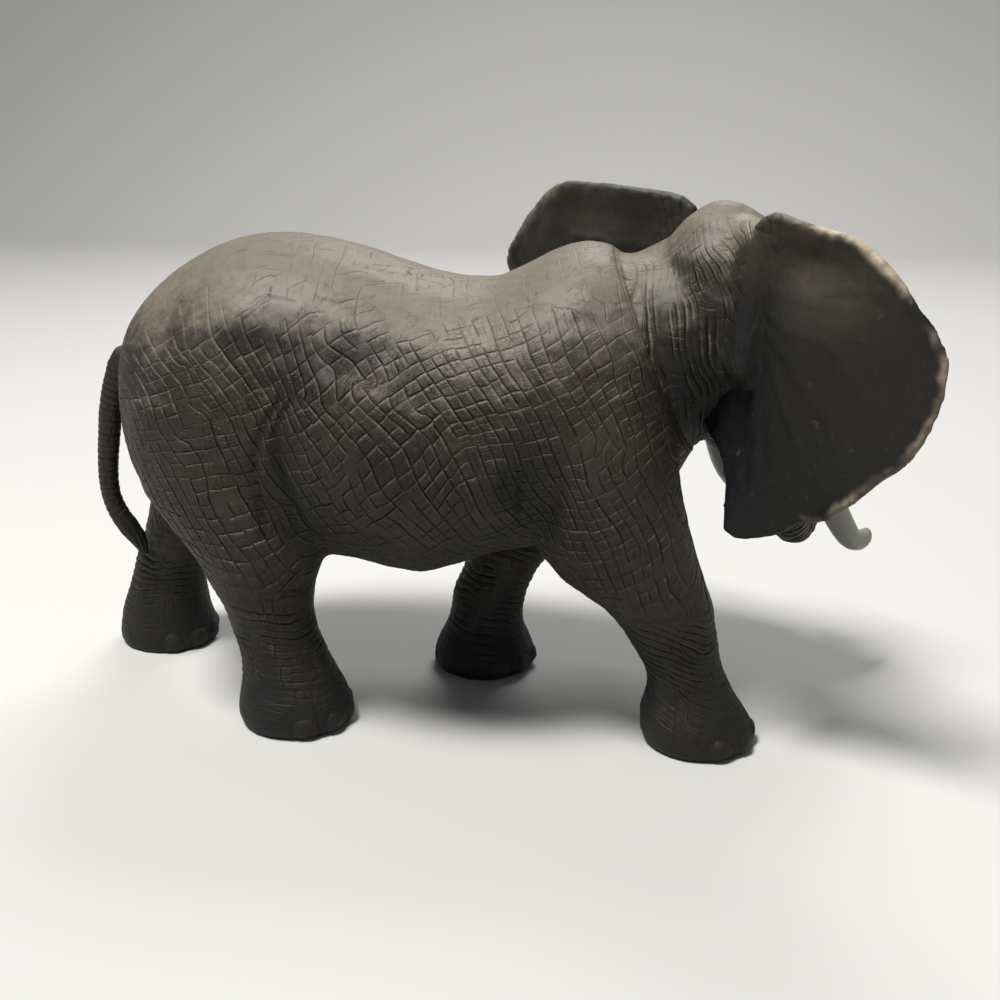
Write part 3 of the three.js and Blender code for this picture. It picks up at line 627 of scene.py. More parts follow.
def fittedFamilies():
    table = wayTables()
    families = []
    finer, start, end = chart["legFine"]
    for family in (0, 1):
        angle = np.radians(table[..., family])
        spacing = chart["fine"] * table[..., 2 + family]
        spacing = spacing * (1 - finer * ramp(np.arange(chart["deep"]), start, end))[None, :]
        slopeX, slopeT = -np.sin(angle) / spacing, np.cos(angle) / spacing
        nothing = np.zeros_like(angle)
        field = fitField(slopeX, slopeT, nothing, nothing)
        held, target = nothing.copy(), nothing.copy()
        for path in plainLines:
            spots, turns = walk(path)
            local = readChart(table[..., family], spots[:, 0], spots[:, 1])
            if np.mean(np.abs(np.cos(turns - np.radians(local)))) < chart["alike"]:
                continue
            level = round(float(np.mean(readChart(field, spots[:, 0], spots[:, 1]))))
            for x, t in spots:
                cell = int(round(x - chart["left"])), int(round(t))
                held[cell], target[cell] = 1, level
        field = fitField(slopeX, slopeT, held, target)
        slope = np.hypot(*np.gradient(field))
        # where lines crowd or drift apart they fade
        crowd = slope * spacing
        sound = ramp(crowd, 0.25, 0.55) * (1 - ramp(crowd, 1.7, 2.6))
        families.append((field, 1 / np.maximum(slope, chart["leastSlope"]), sound))
    return families, table


def chartOf(spots):
    turn = np.arctan2(np.abs(spots[:, 1]), spots[:, 2] - chart["axisHeight"])
    return spots[:, 0], chart["radius"] * turn


families, wayTable = fittedFamilies()
print("crease chart fitted")


# Skin of body, neck, head and trunk, as one surface that is cut where the moulded pieces meet

skin = {
    "voxel": 1.3,
    "smoothing": 9,
    "levels": 2,
    "gap": 0.08,
    "triangles": 196000,
    "grooveDepth": 0.19,
    "grooveWidth": 0.2,
    "plateRise": 0.12,
    "plateRound": 0.6,
    "plateTilt": 0.09,
    "foldDepth": 0.9,
    "foldWidth": 1.1,
    "foldFade": 7,
    "dashDepth": 0.12,
    "dashWidth": 0.3,
    "dashFade": 1.5,
    "sharpDegrees": 65,
}
# Spacing of the two families of lines off the body, in millimetres
legPitch, neckPitch, facePitch, trunkPitch = (1.8, 2.8), (1.55, 2.6), (2.6, 2.9), (1.9, 2.8)
# Radius on which the lines across them are counted
legRadius, neckRadius, faceRadius, trunkRadius = 11, 21, 19, 8

jointPoint = np.array((33.26, 0.0, 86.4))
jointNormal = unit((math.cos(math.radians(23)), 0, math.sin(math.radians(23))))
headCentre = np.array((51.48, 3.19, 90.0))
headTurn, headRoll = math.radians(52), math.radians(2)
jointOverlap = 1.2
# Height of the neck's middle line, and where its two sides meet below
neckLevel, neckUnder = 84, 66
headAhead = np.array((math.cos(headTurn), math.sin(headTurn), 0.0))
levelLeft = np.array((-math.sin(headTurn), math.cos(headTurn), 0.0))
headLeft = levelLeft * math.cos(headRoll) + np.array((0, 0, math.sin(headRoll)))
headAxes = np.stack((headAhead, headLeft, np.cross(headAhead, headLeft)))

# Middle of each leg: height, x, y
legAxes = (
    ((2, -44.1, -19.2), (8, -44.8, -19.2), (14, -46, -19), (20, -47.6, -19), (26, -49, -19), (44, -52, -18)),
    ((2, -90.7, 19.5), (8, -91, 19.4), (14, -90.4, 19.3), (20, -89, 19.2), (26, -86.6, 19.1), (44, -77, 17)),
    ((2, 47.3, -16), (8, 45.8, -16), (14, 44.5, -16.1), (20, 42.5, -16.4), (26, 40.2, -16.9),
     (44, 35, -17.8)),
    ((2, -5.5, 16), (8, -5.6, 16), (14, -5.2, 16), (20, -4.1, 16), (26, -1.7, 16.3), (44, 3, 17)),
)
# Soft forms of the body on the chart: place, radii, rise
bodyForms = (
    (-50, 30, 6, 5, 0.9), (-38, 37, 7, 4, -1.1), (-43.5, 47, 3, 6, -1), (-22, 62, 11, 10, 1.5),
    (-59, 62, 8, 14, 0.8), (-41, 73, 3, 11, -1.3), (2, 52, 5, 13, -0.8), (12, 74, 6, 8, -1.3),
    (24, 38, 9, 14, 0.8), (-52, 84, 5, 6, 0.5), (31, 62, 4, 12, 0.5),
)
# Painted shade in the hollows and folds, partly a dark paint wash, and brown paint, on the chart: place,
# radii, strength
washAndShadeSpots = (
    (-38, 42, 8, 9, 1), (-47, 37, 13, 5, 0.85), (-27, 38, 11, 5, 0.8), (-13, 41, 8, 4, 0.6),
    (-40, 66, 4, 14, 1), (-37, 82, 7, 9, 0.9), (-17, 62, 8, 7, 0.75), (8, 66, 6, 14, 1),
    (15, 78, 10, 8, 1), (2, 84, 30, 9, 0.6), (-78, 56, 12, 26, 0.5), (33, 40, 4, 14, 0.5),
)
browns = (
    (23, 46, 12, 14, 1), (-56, 68, 9, 12, 0.7), (-52, 50, 8, 8, 0.5), (-10, 48, 16, 9, 0.5),
    (34, 68, 8, 14, 0.6), (-26, 50, 6, 8, 0.5),
)
# How much the rings of each leg drop towards the front
legSlants = (0.12, 0.12, 0.42, 0.25)
legTop, legReach = 44, 21
# Toenails round the front of each foot: a foot is a little longer than it is wide
nails = {
    "degrees": (-66, -33, 0, 33, 66),
    "footWidth": 11.8,
    "footLength": 13.2,
    "footRadius": 12.4,
    "halfWidth": 2.4,
    "halfHeight": 2.7,
    "level": 2.6,
    "square": 2.6,
    "rise": 0.13,
    "grooveDepth": 0.14,
    "grooveWidth": 0.42,
    "grooveAt": 1.14,
}

# Middle line of the trunk in the head's own frame
trunkPath = (
    (3, -0.7, -9), (8, -1.7, -18), (12.5, -2.6, -26), (16.6, -2.8, -34), (20.1, -2.8, -41),
    (23.7, -2.6, -47.6), (27.3, -2.4, -52.2), (31.2, -2, -54.2), (35, -1.7, -52.1), (36.4, -1.3, -46.9),
    (36.1, -1.1, -43.1),
)
eyeSpots = ((11.5, 14.3, 0.9), (11.5, -14.3, 0.9))
eye = {"tall": 1.35, "near": 5, "ball": (1.75, 2.05), "lid": 2.7, "rim": 2.08, "folds": (3.9, 5.2)}
latticeNames = ("lineA", "lineB", "powerA", "powerB", "pitchA", "pitchB")
markNames = ("crease", "wearAndTopLight", "shade", "brown", "nail", "eye")


# Skin that runs from the crown and neck on to the back of the near ear
webCuts = (((0, -23.5, 0), (0, -1, 0)), ((0, 0, -10), (0, 0, -1)), ((0, -16, 24.5), (0, -0.5, 0.85)))
# start, end, radius at each, number of balls
webRows = (
    ((-14, -14, 19.5), (-17.5, -14.5, -4), 4.6, 3.4, 12),
    ((-9.5, -8, 19.5), (-13.6, -15.5, 20.4), 4.7, 3.8, 6),
    ((-13.6, -15.5, 20.4), (-16, -19, 21.6), 3.8, 2.5, 4),
)


def headSpot(local):
    return tuple(headCentre + headAxes.T @ np.array(local, dtype=float))


def headLocal(spots):
    return (spots - headCentre) @ headAxes.T


def webFillers():
    balls = []
    for start, end, startSize, endSize, count in webRows:
        for share in np.linspace(0, 1, count):
            middle = np.array(start) * (1 - share) + np.array(end) * share
            balls.append((headSpot(middle), (startSize * (1 - share) + endSize * share,) * 3))
    return balls


# The part of the ear that the web covers is added to the head before the skin is grown
def addWeb(joined):
    copy = copyOf("ear_right")
    for point, normal in webCuts:
        cutAway(copy, headSpot(point), tuple(headAxes.T @ unit(normal)))
    pourInto(joined, copy)


# The copies are let into each other, so that no seam stays open before the skin is grown
def closeSeams(nodeName, copy):
    for vert in copy.verts:
        spot = (np.array(vert.co) - home) / mm
        if nodeName == "head":
            if abs((spot - jointPoint) @ jointNormal - 0.3) < 0.02:
                spot = spot - jointOverlap * jointNormal
        elif abs(spot[1]) < 0.2:
            spot[1] = 0.4 if nodeName == "body_half_right" else -0.4
        vert.co = placed(spot)


# Two crossing families of crease lines, written where they are stronger than what is there.
# The fields count lines, and pitch is the real gap between two of them.
def layLattice(lattice, chosen, *values):
    values = [np.broadcast_to(value, len(chosen)) for value in values]
    better = values[2] + values[3] > lattice["powerA"][chosen] + lattice["powerB"][chosen]
    for name, value in zip(latticeNames, values):
        lattice[name][chosen[better]] = value[better]


# The same with places in millimetres and one pitch for each family
def layEven(lattice, chosen, v, u, powerA, powerB, pitches):
    layLattice(lattice, chosen, v / pitches[0], u / pitches[1], powerA, powerB, *pitches)


def toLine(field, pitch):
    return np.abs(field - np.round(field)) * pitch


# Each line of a family has its own strength
def ownPower(field):
    return 0.85 + 0.15 * np.sin(2.4 * np.round(field))


# Rounded swell between two lines
def swellOf(field):
    return np.cos(2 * math.pi * (field - 0.5))


def quieten(lattice, chosen, share):
    for name in ("powerA", "powerB"):
        lattice[name][chosen] *= share


def raiseMark(marks, name, chosen, values):
    marks[name][chosen] = np.maximum(marks[name][chosen], values)


def layLegs(spots, height, marks, lattice):
    x, y, z = spots.T
    onLegs = 1 - ramp(z + 6 * noise(spots, 7, 29), 27, 38)
    for number, (slant, axis) in enumerate(zip(legSlants, np.array(legAxes, dtype=float))):
        centreX, centreY = np.interp(z, axis[:, 0], axis[:, 1]), np.interp(z, axis[:, 0], axis[:, 2])
        near = (z < legTop) & (np.hypot(x - centreX, y - centreY) < legReach) & (y * axis[0, 2] > 0)
        chosen = np.nonzero(near)[0]
        spot, level = spots[chosen], z[chosen]
        outward = math.copysign(1, axis[0, 2])
        offX, offY = (x - centreX)[chosen], (y - centreY)[chosen]
        turn = np.arctan2(-offX * outward, offY * outward)
        seed = 100 + 10 * number
        v = level + rough(spot, seed, (1.3, 8), (0.6, 3)) + 0.9 * np.cos(turn) + slant * offX
        u = legRadius * turn + rough(spot, seed + 2, (2.2, 7), (0.8, 2.5))
        calm = 0.45 + 0.55 * ramp(level, 8, 17)
        power = onLegs[chosen] * ramp(level, 1.0, 3.0) * calm
        powerA = 0.7 * power * (0.15 + 0.85 * ramp(noise(spot, 3.6, seed + 4), -0.4, 0.3))
        powerB = power * 0.6 * ramp(noise(spot, 2.6, seed + 5), -0.1, 0.35)
        powerB = powerB * ramp(math.pi - np.abs(turn), 0.1, 0.3)
        layEven(lattice, chosen, v, u, powerA, powerB, legPitch)
        swell = 0.05 * swellOf(v / legPitch[0]) + 0.2 * noise(spot, 6, seed + 6)
        height[chosen] += swell * onLegs[chosen] * ramp(level, 7, 14)
        layNails(height, marks, lattice, chosen, offX, offY, level)
    return onLegs


def layNails(height, marks, lattice, chosen, offX, offY, level):
    turn = np.arctan2(offY / nails["footWidth"], offX / nails["footLength"])
    nail, groove = np.zeros(len(chosen)), np.zeros(len(chosen))
    square = nails["square"]
    for degrees in nails["degrees"]:
        across = nails["footRadius"] * (turn - math.radians(degrees)) / nails["halfWidth"]
        shape = np.abs(across) ** square + np.abs((level - nails["level"]) / nails["halfHeight"]) ** square
        nail = np.maximum(nail, 1 - ramp(shape, 0.6, 1.2))
        outside = (shape ** (1 / square) - nails["grooveAt"]) * nails["halfWidth"]
        groove = np.maximum(groove, bell(outside, nails["grooveWidth"]))
    groove *= 1 - nail
    height[chosen] += nails["rise"] * nail - nails["grooveDepth"] * groove
    quieten(lattice, chosen, 1 - nail)
    raiseMark(marks, "crease", chosen, 0.3 * groove)
    raiseMark(marks, "nail", chosen, nail)


# Ball, lids and the creases round them
def layEyes(height, marks, lattice, chosen, local):
    ball, crease = np.zeros(len(chosen)), np.zeros(len(chosen))
    for centre in eyeSpots:
        offset = local - np.array(centre)
        flat = np.hypot(offset[:, 0], offset[:, 2] * eye["tall"])
        close = np.abs(offset[:, 1]) < eye["near"]
        ball = np.maximum(ball, close * (1 - ramp(flat, *eye["ball"])))
        lid = close * bell(flat - eye["lid"], 0.55)
        rim = close * bell(flat - eye["rim"], 0.26)
        inner, outer = (bell(flat - radius, 0.35) for radius in eye["folds"])
        fold = close * (inner + 0.7 * outer)
        height[chosen] += 0.3 * ball + 0.42 * lid - 0.3 * rim - 0.3 * fold
        crease = np.maximum(crease, np.maximum(rim, 0.6 * fold))
        quieten(lattice, chosen, 1 - close * (1 - ramp(flat, 3, 6)))
    marks["eye"][chosen] = ball
    marks["crease"][chosen] = crease


def layHead(spots, height, marks, lattice):
    beyond = (spots - jointPoint) @ jointNormal
    chosen = np.nonzero(beyond > 0)[0]
    spot, beyond = spots[chosen], beyond[chosen]
    local = headLocal(spot)
    quieten(lattice, chosen, 0)
    gap, station, offset, heading, _ = followPath(local, trunkPath)
    turn = np.arctan2(offset[:, 1], offset[:, 0] * -heading[:, 2] + offset[:, 2] * heading[:, 0])
    onTrunk = ramp(station, 8, 20) * (1 - ramp(gap, 15, 20)) * ramp(local[:, 0] - 0.25 * local[:, 2], 4, 12)
    onNeck = ramp(-local[:, 0] - 0.15 * local[:, 2], 6, 13) * (1 - onTrunk)
    onFace = (1 - onTrunk) * (1 - onNeck)
    # neck: long upright folds beside the joint, and fine lines across them
    around = neckRadius * np.arctan2(spot[:, 1] - 0.15 * beyond, spot[:, 2] - neckLevel)
    side = ramp(np.abs(around), 4, 18)
    v = beyond + rough(spot, 131, (2.2, 11), (0.7, 4.5)) + 0.16 * np.abs(around)
    u = around + rough(spot, 133, (2.5, 8), (1.2, 3.5))
    start = ramp(beyond, 0.3, 1.2)
    smooth = 1 - 0.8 * ramp(np.abs(local[:, 1]), 10, 16)
    power = onNeck * start * smooth
    powerA = 0.6375 * power * (0.1 + 0.9 * side) * ramp(noise(spot * (1, 1, 0.4), 3, 135), -0.45, 0.3)
    powerB = 0.33 * power * ramp(noise(spot, 3, 136), 0, 0.4) * ramp(neckUnder - np.abs(around), 0.5, 3)
    layEven(lattice, chosen, v, u, powerA, powerB, neckPitch)
    broad = noise(flatSpots(v, u / 3), 4, 146)
    height[chosen] += power * side * (0.04 * swellOf(v / neckPitch[0]) + 0.25 * broad)
    height[chosen] -= 0.8 * onNeck * start * (1 - ramp(beyond, 2, 9)) * side
    # face: fine uneven plates
    turnFace = np.arctan2(local[:, 1], local[:, 0] + 7)
    u = faceRadius * turnFace + rough(spot, 137, (1.8, 6), (0.7, 2.5))
    v = local[:, 2] + rough(spot, 139, (2.2, 8), (0.6, 2.5))
    power = onFace * (1 - 0.9 * ramp(local[:, 2], 5, 16))
    powerA = power * 0.7 * ramp(noise(spot, 5, 141), -0.5, 0.2)
    powerB = power * 0.6 * ramp(noise(spot, 4, 142), -0.3, 0.3)
    layEven(lattice, chosen, v, u, powerA, powerB, facePitch)
    # trunk: rings that close round it, finer than the moulded folds
    v = station + 0.6 * noise(spot, 5, 143) + 0.25 * np.cos(turn)
    powerA = onTrunk * (0.6 + 0.4 * ramp(noise(spot, 3.5, 144), -0.5, 0.2))
    powerB = 0.5 * onTrunk * ramp(noise(spot, 2.2, 145), 0.05, 0.4)
    powerB = powerB * ramp(math.pi - np.abs(turn), 0.1, 0.3)
    layEven(lattice, chosen, v, trunkRadius * turn, powerA, powerB, trunkPitch)
    layEyes(height, marks, lattice, chosen, local)
    # the web thins out until the ear itself is on top
    height[chosen] -= 0.75 * ramp(-local[:, 1], 16.5, 22) * ramp(4 - local[:, 0], 0, 3)
    # painted shade in the notch at the ear root and low on the neck
    atEar = ramp(np.abs(local[:, 1]), 8, 14) * ramp(-local[:, 0], 2, 7) * ramp(17 - local[:, 2], 0, 9)
    lowNeck = onNeck * ramp(108 - spot[:, 2] + 3 * noise(spot, 5, 147), 0, 22) * ramp(beyond, -4, 5)
    raiseMark(marks, "shade", chosen, np.maximum(1.15 * atEar, 0.9 * lowNeck))


def layBody(spots, height, marks, lattice, onLegs):
    y, z = spots[:, 1], spots[:, 2]
    onBody = 1 - ramp((spots - jointPoint) @ jointNormal, -0.9, -0.1)
    chartX, chartT = chartOf(spots)
    first, pitchA, soundA = (readChart(sheet, chartX, chartT) for sheet in families[0])
    second, pitchB, soundB = (readChart(sheet, chartX, chartT) for sheet in families[1])
    first += rough(spots, 21, (0.12, 8), (0.07, 3))
    # from row to row the plates are shifted a little, as bricks are
    second += rough(spots, 23, (0.12, 8), (0.07, 3)) + 0.07 * np.sin(2.1 * np.floor(first))
    onLattice = onBody * (1 - ramp(34 - z, -4, 3)) * ramp(np.abs(y), 0.6, 3)
    table = [readChart(wayTable[..., column], chartX, chartT) for column in range(2, 6)]
    # on the back only short pieces of the lines are left
    clear = 1 - ramp(chartT + 5 * noise(spots, 9, 27), 24, 42)
    keep = ramp(noise(spots, 3.4, 25), -0.8 + 0.75 * clear, -0.3 + 0.5 * clear)
    powerA = onLattice * soundA * (1 - 0.5 * clear) * table[2] * keep
    keep = ramp(noise(spots, 3.0, 26), -0.7 + 0.7 * clear, -0.1 + 0.45 * clear)
    powerB = onLattice * soundB * (1 - 0.5 * clear) * table[3] * keep
    # some pieces of a line between two others are missing
    dice = np.random.default_rng(31).random(4096)
    pieceA = dice[(np.round(first) * 71 + np.floor(second) * 37).astype(np.int64) & 4095]
    pieceB = dice[(np.floor(first) * 57 + np.round(second) * 131).astype(np.int64) & 4095]
    powerA = powerA * np.where(pieceA < 0.04, 0.2, 0.7 + 0.3 * pieceA)
    powerB = powerB * np.where(pieceB < 0.11, 0.15, 0.6 + 0.4 * pieceB)
    everywhere = np.arange(len(spots))
    layLattice(lattice, everywhere, first, second, powerA, powerB, pitchA, pitchB)
    for *place, rise in bodyForms:
        height += rise * onBody * patchOf(chartX, chartT, *place)
    onFlat = flatSpots(chartX, chartT)
    folds = nearest(onFlat, deepFolds, skin["foldWidth"], skin["foldFade"]) * (1 - onLegs)
    dashed = nearest(onFlat, dashes, skin["dashWidth"], skin["dashFade"])
    dashed *= ramp(noise(spots, 2.5, 28), -0.6, 0.2)
    height -= (skin["foldDepth"] * folds + skin["dashDepth"] * dashed) * onBody
    raiseMark(marks, "crease", everywhere, np.maximum(0.5 * dashed, 0.6 * folds) * onBody)
    # painted shade in hollows and folds, partly a dark paint wash, and brown paint
    for mark, shadeAndBrownSpots in (("shade", washAndShadeSpots), ("brown", browns)):
        for *place, strength in shadeAndBrownSpots:
            raiseMark(marks, mark, everywhere, strength * onBody * patchOf(chartX, chartT, *place))


def sculptSkin(mesh):
    spots, normals = readPoints(mesh), readNormals(mesh)
    height = np.zeros(len(spots))
    marks = {name: np.zeros(len(spots)) for name in markNames}
    lattice = {name: np.zeros(len(spots)) for name in latticeNames}
    onLegs = layLegs(spots, height, marks, lattice)
    layBody(spots, height, marks, lattice, onLegs)
    layHead(spots, height, marks, lattice)
    gapA, gapB = (toLine(lattice["line" + family], lattice["pitch" + family]) for family in "AB")
    powerA, powerB = (lattice["power" + family] * ownPower(lattice["line" + family]) for family in "AB")
    width = skin["grooveWidth"]
    groove = np.maximum(powerA * bell(gapA, width), powerB * bell(gapB, width))
    plate = (1 - np.exp(-np.minimum(gapA, gapB) / skin["plateRound"])) * np.maximum(powerA, powerB)
    height += skin["plateRise"] * plate - skin["grooveDepth"] * groove
    # each plate stands a little prouder at its upper edge
    partA, partB = lattice["lineA"] % 1, lattice["lineB"] % 1
    height += skin["plateTilt"] * ((1 - partA) * powerA + partB * powerB)
    height += rough(spots, 51, (0.05, 1.1), (0.05, 2.3))
    # the soles stay flat
    height *= ramp(spots[:, 2], 0.25, 1.0)
    moved = insideBox(spots + normals * height[:, None])
    writePoints(mesh, moved)
    paintMarks(spots, moved, normals[:, 2], marks)
    for name, values in marks.items():
        addMark(mesh, name, values)
    for name, values in lattice.items():
        addMark(mesh, name, values, -np.inf, np.inf)


# Worn paint and painted top light on what faces up; painted shade on what faces down, in the hollows and low
# on the legs
def paintMarks(spots, moved, up, marks):
    y, z = spots[:, 1], spots[:, 2]
    patch = rough(moved, 61, (0.5, 9), (0.3, 4))
    # what faces up and the ridge of the spine are lighter: worn paint and painted top light
    spine = 0.9 * bell(y, 1.2) * ramp(z, 98, 104)
    marks["wearAndTopLight"] = np.maximum(ramp(up + 0.3 * patch, 0.0, 0.85) * ramp(z, 52, 94), spine)
    # painted shade on what faces down and low on the legs
    below, lowDown = 0.7 * ramp(-up, 0.2, 0.8), 0.95 * (1 - ramp(z, 8, 54))
    marks["shade"] = np.maximum.reduce((marks["shade"], below, lowDown))
    marks["wearAndTopLight"] *= 1 - 0.9 * np.clip(marks["shade"], 0, 1) * ramp(0.9 - up, 0, 0.35)
    marks["brown"] *= 0.8 + 0.5 * patch


def splitSkin(whole, name, cuts, node):
    shape = bmesh.new()
    shape.from_mesh(whole.data)
    for point, normal in cuts:
        cutAway(shape, point, normal)
    piece = newObject(name, shape)
    finishPiece(piece, node, skin["triangles"])
    piece.data.set_sharp_from_angle(angle=math.radians(skin["sharpDegrees"]))
    return piece


whole = grow(
    "wholeSkin", ("body_half_right", "body_half_left", "head"), skin, closeSeams,
    fillers=[(headSpot((-2, 0, 0)), (15.5, 15.5, 15))] + webFillers(),
    extra=addWeb,
)
print("skin grown:", len(whole.data.vertices), "vertices")
sculptSkin(whole.data)
print("skin creased")
halfGap = skin["gap"] / 2
onRight = ((0, -halfGap, 0), (0, 1, 0))
onLeft = ((0, halfGap, 0), (0, -1, 0))
ofBody = (tuple(jointPoint - jointNormal * halfGap), tuple(jointNormal))
ofHead = (tuple(jointPoint + jointNormal * halfGap), tuple(-jointNormal))
skins = [
    splitSkin(whole, "bodySkinRight", (ofBody, onRight), "body_half_right"),
    splitSkin(whole, "bodySkinLeft", (ofBody, onLeft), "body_half_left"),
    splitSkin(whole, "headSkin", (ofHead,), "head"),
]
oldMesh = whole.data
bpy.data.objects.remove(whole)
bpy.data.meshes.remove(oldMesh)
print("skin cut into", [(piece.name, len(piece.data.polygons)) for piece in skins])


# Ears: thin sheets with soft veins, a rippled rim and worn edges

ear = {
    "voxel": 0.65,
    "smoothing": 5,
    "levels": 1,
    "triangles": 150000,
    "veinRise": 0.16,
    "rimRipple": 0.4,
    "wrinkleDepth": 0.07,
    "veinWidth": 1.1,
    # outward range over which the root ends, and how flat the surface still is at the rim
    "rootFade": (17, 24),
    "rimTurn": 0.35,
    # row, length and width of the small wrinkles
    "wrinkles": (2.6, 5, 0.3),
    # outward from the middle of the head, then up: folds that run from the root
    "veins": (
        ((15, 14), (20, 12), (28, 12), (38, 11)),
        ((14, 8), (18, 3), (22, -5), (27, -13), (31, -22)),
        ((16, 9), (24, 5), (33, 4), (38, 0), (42, -5)),
        ((14, 4), (16, -6), (19, -16), (21, -26)),
        ((20, 3), (26, -3), (33, -9), (38, -16)),
        ((28, 12), (36, 15), (43, 14)),
    ),
}

# Bare patches on the rims: outward, up, radius, how bare
rimWear = {
    "earSkinRight": (
        (33, 23.5, 5, 1), (38, 21, 5, 1), (43, 16.5, 5, 0.8), (51, 7, 3, 0.35), (56, 0, 6, 0.6),
        (55, -9, 7, 0.6), (49, -14, 6, 0.3), (45, -20, 4, 0.3), (40, -26, 4, 0.5), (34, -29, 3, 0.35),
    ),
    "earSkinLeft": (
        (61, 12, 6, 0.3), (55, 17, 5, 0.4), (48, 24, 4, 0.3), (66, 3, 5, 0.4), (62, -8, 5, 0.5),
        (50, -20, 5, 0.5),
    ),
}


# The rim is where the surface turns away from the sheet's own direction
def distanceFromRim(spots, normals, across):
    rim = np.nonzero(np.abs(normals @ across) < ear["rimTurn"])[0]
    tree = kdtree.KDTree(len(rim))
    for k, index in enumerate(rim):
        tree.insert(spots[index], k)
    tree.balance()
    return np.array([tree.find(spot)[2] for spot in spots])


def sculptEar(piece, side, s):
    mesh = piece.data
    spots, normals = readPoints(mesh), readNormals(mesh)
    local = headLocal(spots)
    out, up = side * local[:, 1], local[:, 2]
    sheet = flatSpots(out, up)
    mean = unit(np.linalg.svd((spots - spots.mean(0))[::37], full_matrices=False)[2][2])
    rim = distanceFromRim(spots, normals, mean)
    root = 1 - ramp(out, *s["rootFade"])
    warped = sheet + flatSpots(1.2 * noise(sheet, 9, 71), 1.2 * noise(sheet, 9, 72))
    height = s["veinRise"] * nearest(warped, s["veins"], s["veinWidth"]) * ramp(rim, 1, 4)
    # small wrinkles, denser near the root and along the rim
    u = out + 1.5 * noise(sheet, 7, 73)
    v = up + 0.5 * out + rough(sheet, 74, (2.5, 9), (0.6, 3))
    wrinkle = bricks(v, u, *s["wrinkles"], 76) * (0.15 + 0.7 * root + 0.3 * (1 - ramp(rim, 1, 5)))
    height -= s["wrinkleDepth"] * wrinkle * ramp(rim, 0.3, 1.5)
    height += 0.16 * noise(sheet, 6, 77) + 0.04 * noise(spots, 1.2, 78)
    spots = spots + normals * height[:, None]
    # the rim waves across the sheet, both faces together
    wave = rough(sheet, 79, (1, 4.2), (0.5, 2.2)) * (1 - ramp(rim, 0.5, 5)) * ramp(out, 20, 30)
    spots = spots + s["rimRipple"] * wave[:, None] * mean
    writePoints(mesh, insideBox(spots))
    edge = 1 - ramp(rim + rough(sheet, 81, (1.1, 7), (0.35, 1.6)), 0.7, 2.2)
    worn = np.maximum.reduce([
        bare * (1 - ramp(np.hypot(out - a, up - b), 0.6 * radius, 1.3 * radius))
        for a, b, radius, bare in rimWear[piece.name]
    ])
    addMark(mesh, "worn", worn * edge)
    addMark(mesh, "crease", 0.6 * wrinkle)
    # painted shade round the root, less at the top, and on the lower part of the near ear
    nearRoot = 1 - ramp(out + 2 * noise(sheet, 8, 83), 14, 28)
    low = 0.75 * (1 - ramp(up + 0.3 * (out - 30), -30, 0))
    addMark(mesh, "shade", np.maximum(nearRoot * (1 - 0.8 * ramp(up, 10, 20)), low * (side < 0)))
    # the far ear is painted lighter and cooler: painted light
    addMark(mesh, "farEarLit", np.full(len(spots), float(side > 0)))
    # painted highlight on the back of the near ear and along its top
    earHighlight = patchOf(out, up, 28, 14, 12, 8) * (0.8 + 0.2 * noise(sheet, 5, 84))
    top = ramp(up + 0.12 * out + 1.5 * noise(sheet, 4, 85), 20, 27) * (1 - ramp(out, 24, 32)) * (side < 0)
    addMark(mesh, "earHighlight", np.maximum(0.75 * earHighlight, top))


earSkins = []
for name, node, side in (("earSkinRight", "ear_right", -1), ("earSkinLeft", "ear_left", 1)):
    piece = grow(name, (node,), ear)
    sculptEar(piece, side, ear)
    finishPiece(piece, node, ear["triangles"])
    earSkins.append(piece)
print("ears ready")


# Tusks

tusk = {"voxel": 0.6, "smoothing": 6, "levels": 1, "triangles": 60000, "rootFade": (24, 36)}
tusks = []
for name, node in (("tuskRight", "tusk_right"), ("tuskLeft", "tusk_left")):
    piece = grow(name, (node,), tusk)
    spots, normals = readPoints(piece.data), readNormals(piece.data)
    spots = spots + normals * rough(spots, 91, (0.05, 4), (0.015, 0.9))[:, None]
    writePoints(piece.data, spots)
    addMark(piece.data, "root", 1 - ramp(-headLocal(spots)[:, 2], *tusk["rootFade"]))
    finishPiece(piece, node, tusk["triangles"])
    tusks.append(piece)
print("tusks ready")


# Tail: ringed above, strands of hair in the tuft

tail = {
    "voxel": 0.55,
    "smoothing": 6,
    "levels": 1,
    "triangles": 90000,
    "ringDepth": 0.22,
    "hairDepth": 0.3,
    # way along the tail where the tuft begins and is full
    "tuftFade": (44, 50),
    # row, length and width of the rings
    "rings": (1.7, 5, 0.26),
    "radius": 2.6,
    "strands": 4.5,
}
tailPath = (
    (-85.14, 0, 80.5), (-87.54, 0.12, 79.6), (-89.22, 0.6, 75.1), (-92.22, 1.8, 67.9), (-94.62, 3.3, 58.6),
    (-96.3, 4.68, 50.5), (-96.66, 5.7, 43.9), (-95.04, 6.6, 37.9), (-91.92, 7.5, 32.5), (-90.24, 7.8, 28.0),
)


